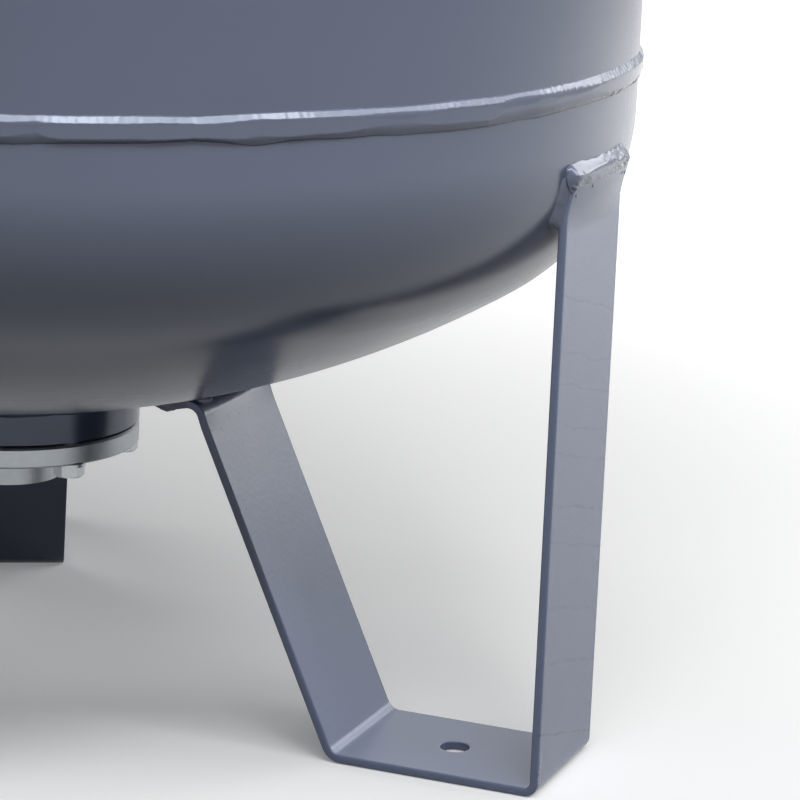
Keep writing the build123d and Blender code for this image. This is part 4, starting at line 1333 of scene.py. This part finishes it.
# The rest keeps its CAD mesh, with the finish of its kind
keptFinishes = {
    "flange_ring": "tankEnamel", "valve_boss": "tankEnamel", "connection_flange": "tappedZinc",
    "flange_bolts": "boltZinc", "flange_washers": "boltZinc", "valve_core": "turnedBrass",
    "valve_pin": "turnedBrass", "valve_body_seal": "nitrileSeal",
    "valve_cap_seal": "nitrileSeal", "valve_cap": "capNylon",
}
for node, finish in keptFinishes.items():
    nodes[node].data.materials.clear()
    nodes[node].data.materials.append(finishes[finish])
print("kept nodes finished:", len(keptFinishes))


# Studio: a pale floor and soft boxes

studio = {
    "floorSeen": "#F4F4F4",     # as the camera and reflections see it
    "floorBounce": "#484848",   # as the light that it throws back up sees it
    "floorHalf": 6.0,           # metres
    "floorDrop": 0.0003,        # so that the bases' undersides don't lie in it
    "glowNear": 0.19,           # white added under the tank, kept low as a painted shade; its shadow stays too
    "glowFar": 0.92,            # and out where the soft boxes no longer reach
    "glowFrom": 0.28,           # metres from the axis
    "glowTo": 1.9,
}
# Soft boxes, all aimed at one point at the foot of the tank: where they stand in degrees from leg 1, how
# high, their roll, their size in metres and how bright their face is next to the white background
boxAim = (0.1, 0, 0.35)
boxDistance = 3
softBoxes = {
    "highFront": {"azimuth": -66, "elevation": 54, "roll": 0, "size": (1.6, 1.3), "level": 6.2},
    "highRightFront": {"azimuth": -27, "elevation": 50, "roll": -12, "size": (2.0, 0.62), "level": 7.2},
    "highRight": {"azimuth": 10, "elevation": 41.5, "roll": -22, "size": (1.95, 0.55), "level": 4.7},
    "right": {"azimuth": 43, "elevation": 28, "roll": -30, "size": (1.75, 0.55), "level": 3.1},
    "rightBack": {"azimuth": 63, "elevation": 14.5, "roll": 0, "size": (0.85, 1.25), "level": 2.8},
    "backRight": {"azimuth": 80, "elevation": 22, "roll": 0, "size": (0.8, 0.55), "level": 2.6},
    "back": {"azimuth": 165, "elevation": 35, "roll": 0, "size": (2.0, 2.0), "level": 1.4},
}


# 1 for what the camera, reflections and glass see, 0 for the light that falls on things
def seenDirectly(tree):
    path = addNode(tree, "ShaderNodeLightPath").outputs
    either = maths(tree, "MAXIMUM", path["Is Camera Ray"], path["Is Glossy Ray"])
    return maths(tree, "MAXIMUM", either, path["Is Transmission Ray"])


# The floor: matt, with a white glow added as the camera sees it, which grows with the distance from the tank
def makeFloor():
    half, low = studio["floorHalf"], -studio["floorDrop"]
    mesh = bpy.data.meshes.new("floor")
    corners = [(-half, -half, low), (half, -half, low), (half, half, low), (-half, half, low)]
    mesh.from_pydata(corners, [], [(0, 1, 2, 3)])
    floor = bpy.data.objects.new("floor", mesh)
    bpy.context.scene.collection.objects.link(floor)
    material, tree, output = newMaterial("studio_floor")
    seen = seenDirectly(tree)
    place = addNode(tree, "ShaderNodeTexCoord").outputs["Object"]
    # the glow is low near the tank: a painted shade round its foot, seen by the camera and in reflections
    rise = mapped(tree, vectorMaths(tree, "LENGTH", place), given=(studio["glowFrom"], studio["glowTo"]),
                  wanted=(studio["glowNear"], studio["glowFar"]), kind="SMOOTHSTEP")
    tone = mixed(tree, seen, hexColour(studio["floorBounce"]), hexColour(studio["floorSeen"]))
    matt = addNode(tree, "ShaderNodeBsdfDiffuse", {"Color": tone})
    light = addNode(tree, "ShaderNodeEmission", {"Color": (1, 1, 1, 1),
                                                 "Strength": maths(tree, "MULTIPLY", seen, rise)})
    both = addNode(tree, "ShaderNodeAddShader", {0: matt.outputs[0], 1: light.outputs[0]})
    tree.links.new(both.outputs[0], output.inputs[0])
    mesh.materials.append(material)


# A white world that lights nothing
def makeWorld():
    world = bpy.data.worlds.new("studio")
    world.use_nodes = True
    tree = world.node_tree
    tree.nodes.clear()
    sky = addNode(tree, "ShaderNodeBackground", {"Color": (1, 1, 1, 1), "Strength": seenDirectly(tree)})
    addNode(tree, "ShaderNodeOutputWorld", {"Surface": sky.outputs[0]})
    bpy.context.scene.world = world


def makeSoftBox(name, box):
    data = bpy.data.lights.new(name, "AREA")
    data.shape = "RECTANGLE"
    data.size, data.size_y = box["size"]
    data.energy = box["level"] * math.pi * box["size"][0] * box["size"][1]
    lamp = bpy.data.objects.new(name, data)
    bpy.context.scene.collection.objects.link(lamp)
    lamp.visible_camera = False
    around, up = math.radians(box["azimuth"]), math.radians(box["elevation"])
    way = Vector((math.cos(around) * math.cos(up), math.sin(around) * math.cos(up), math.sin(up)))
    level, roll = Vector((-math.sin(around), math.cos(around), 0)), math.radians(box["roll"])
    across = level * math.cos(roll) + way.cross(level) * math.sin(roll)
    turn = Matrix((across, way.cross(across), way)).transposed().to_4x4()
    lamp.matrix_world = Matrix.Translation(Vector(boxAim) + boxDistance * way) @ turn


makeFloor()
makeWorld()
for boxName, boxSettings in softBoxes.items():
    makeSoftBox(boxName, boxSettings)
bpy.context.scene.view_settings.view_transform = "Standard"
print("studio lit")
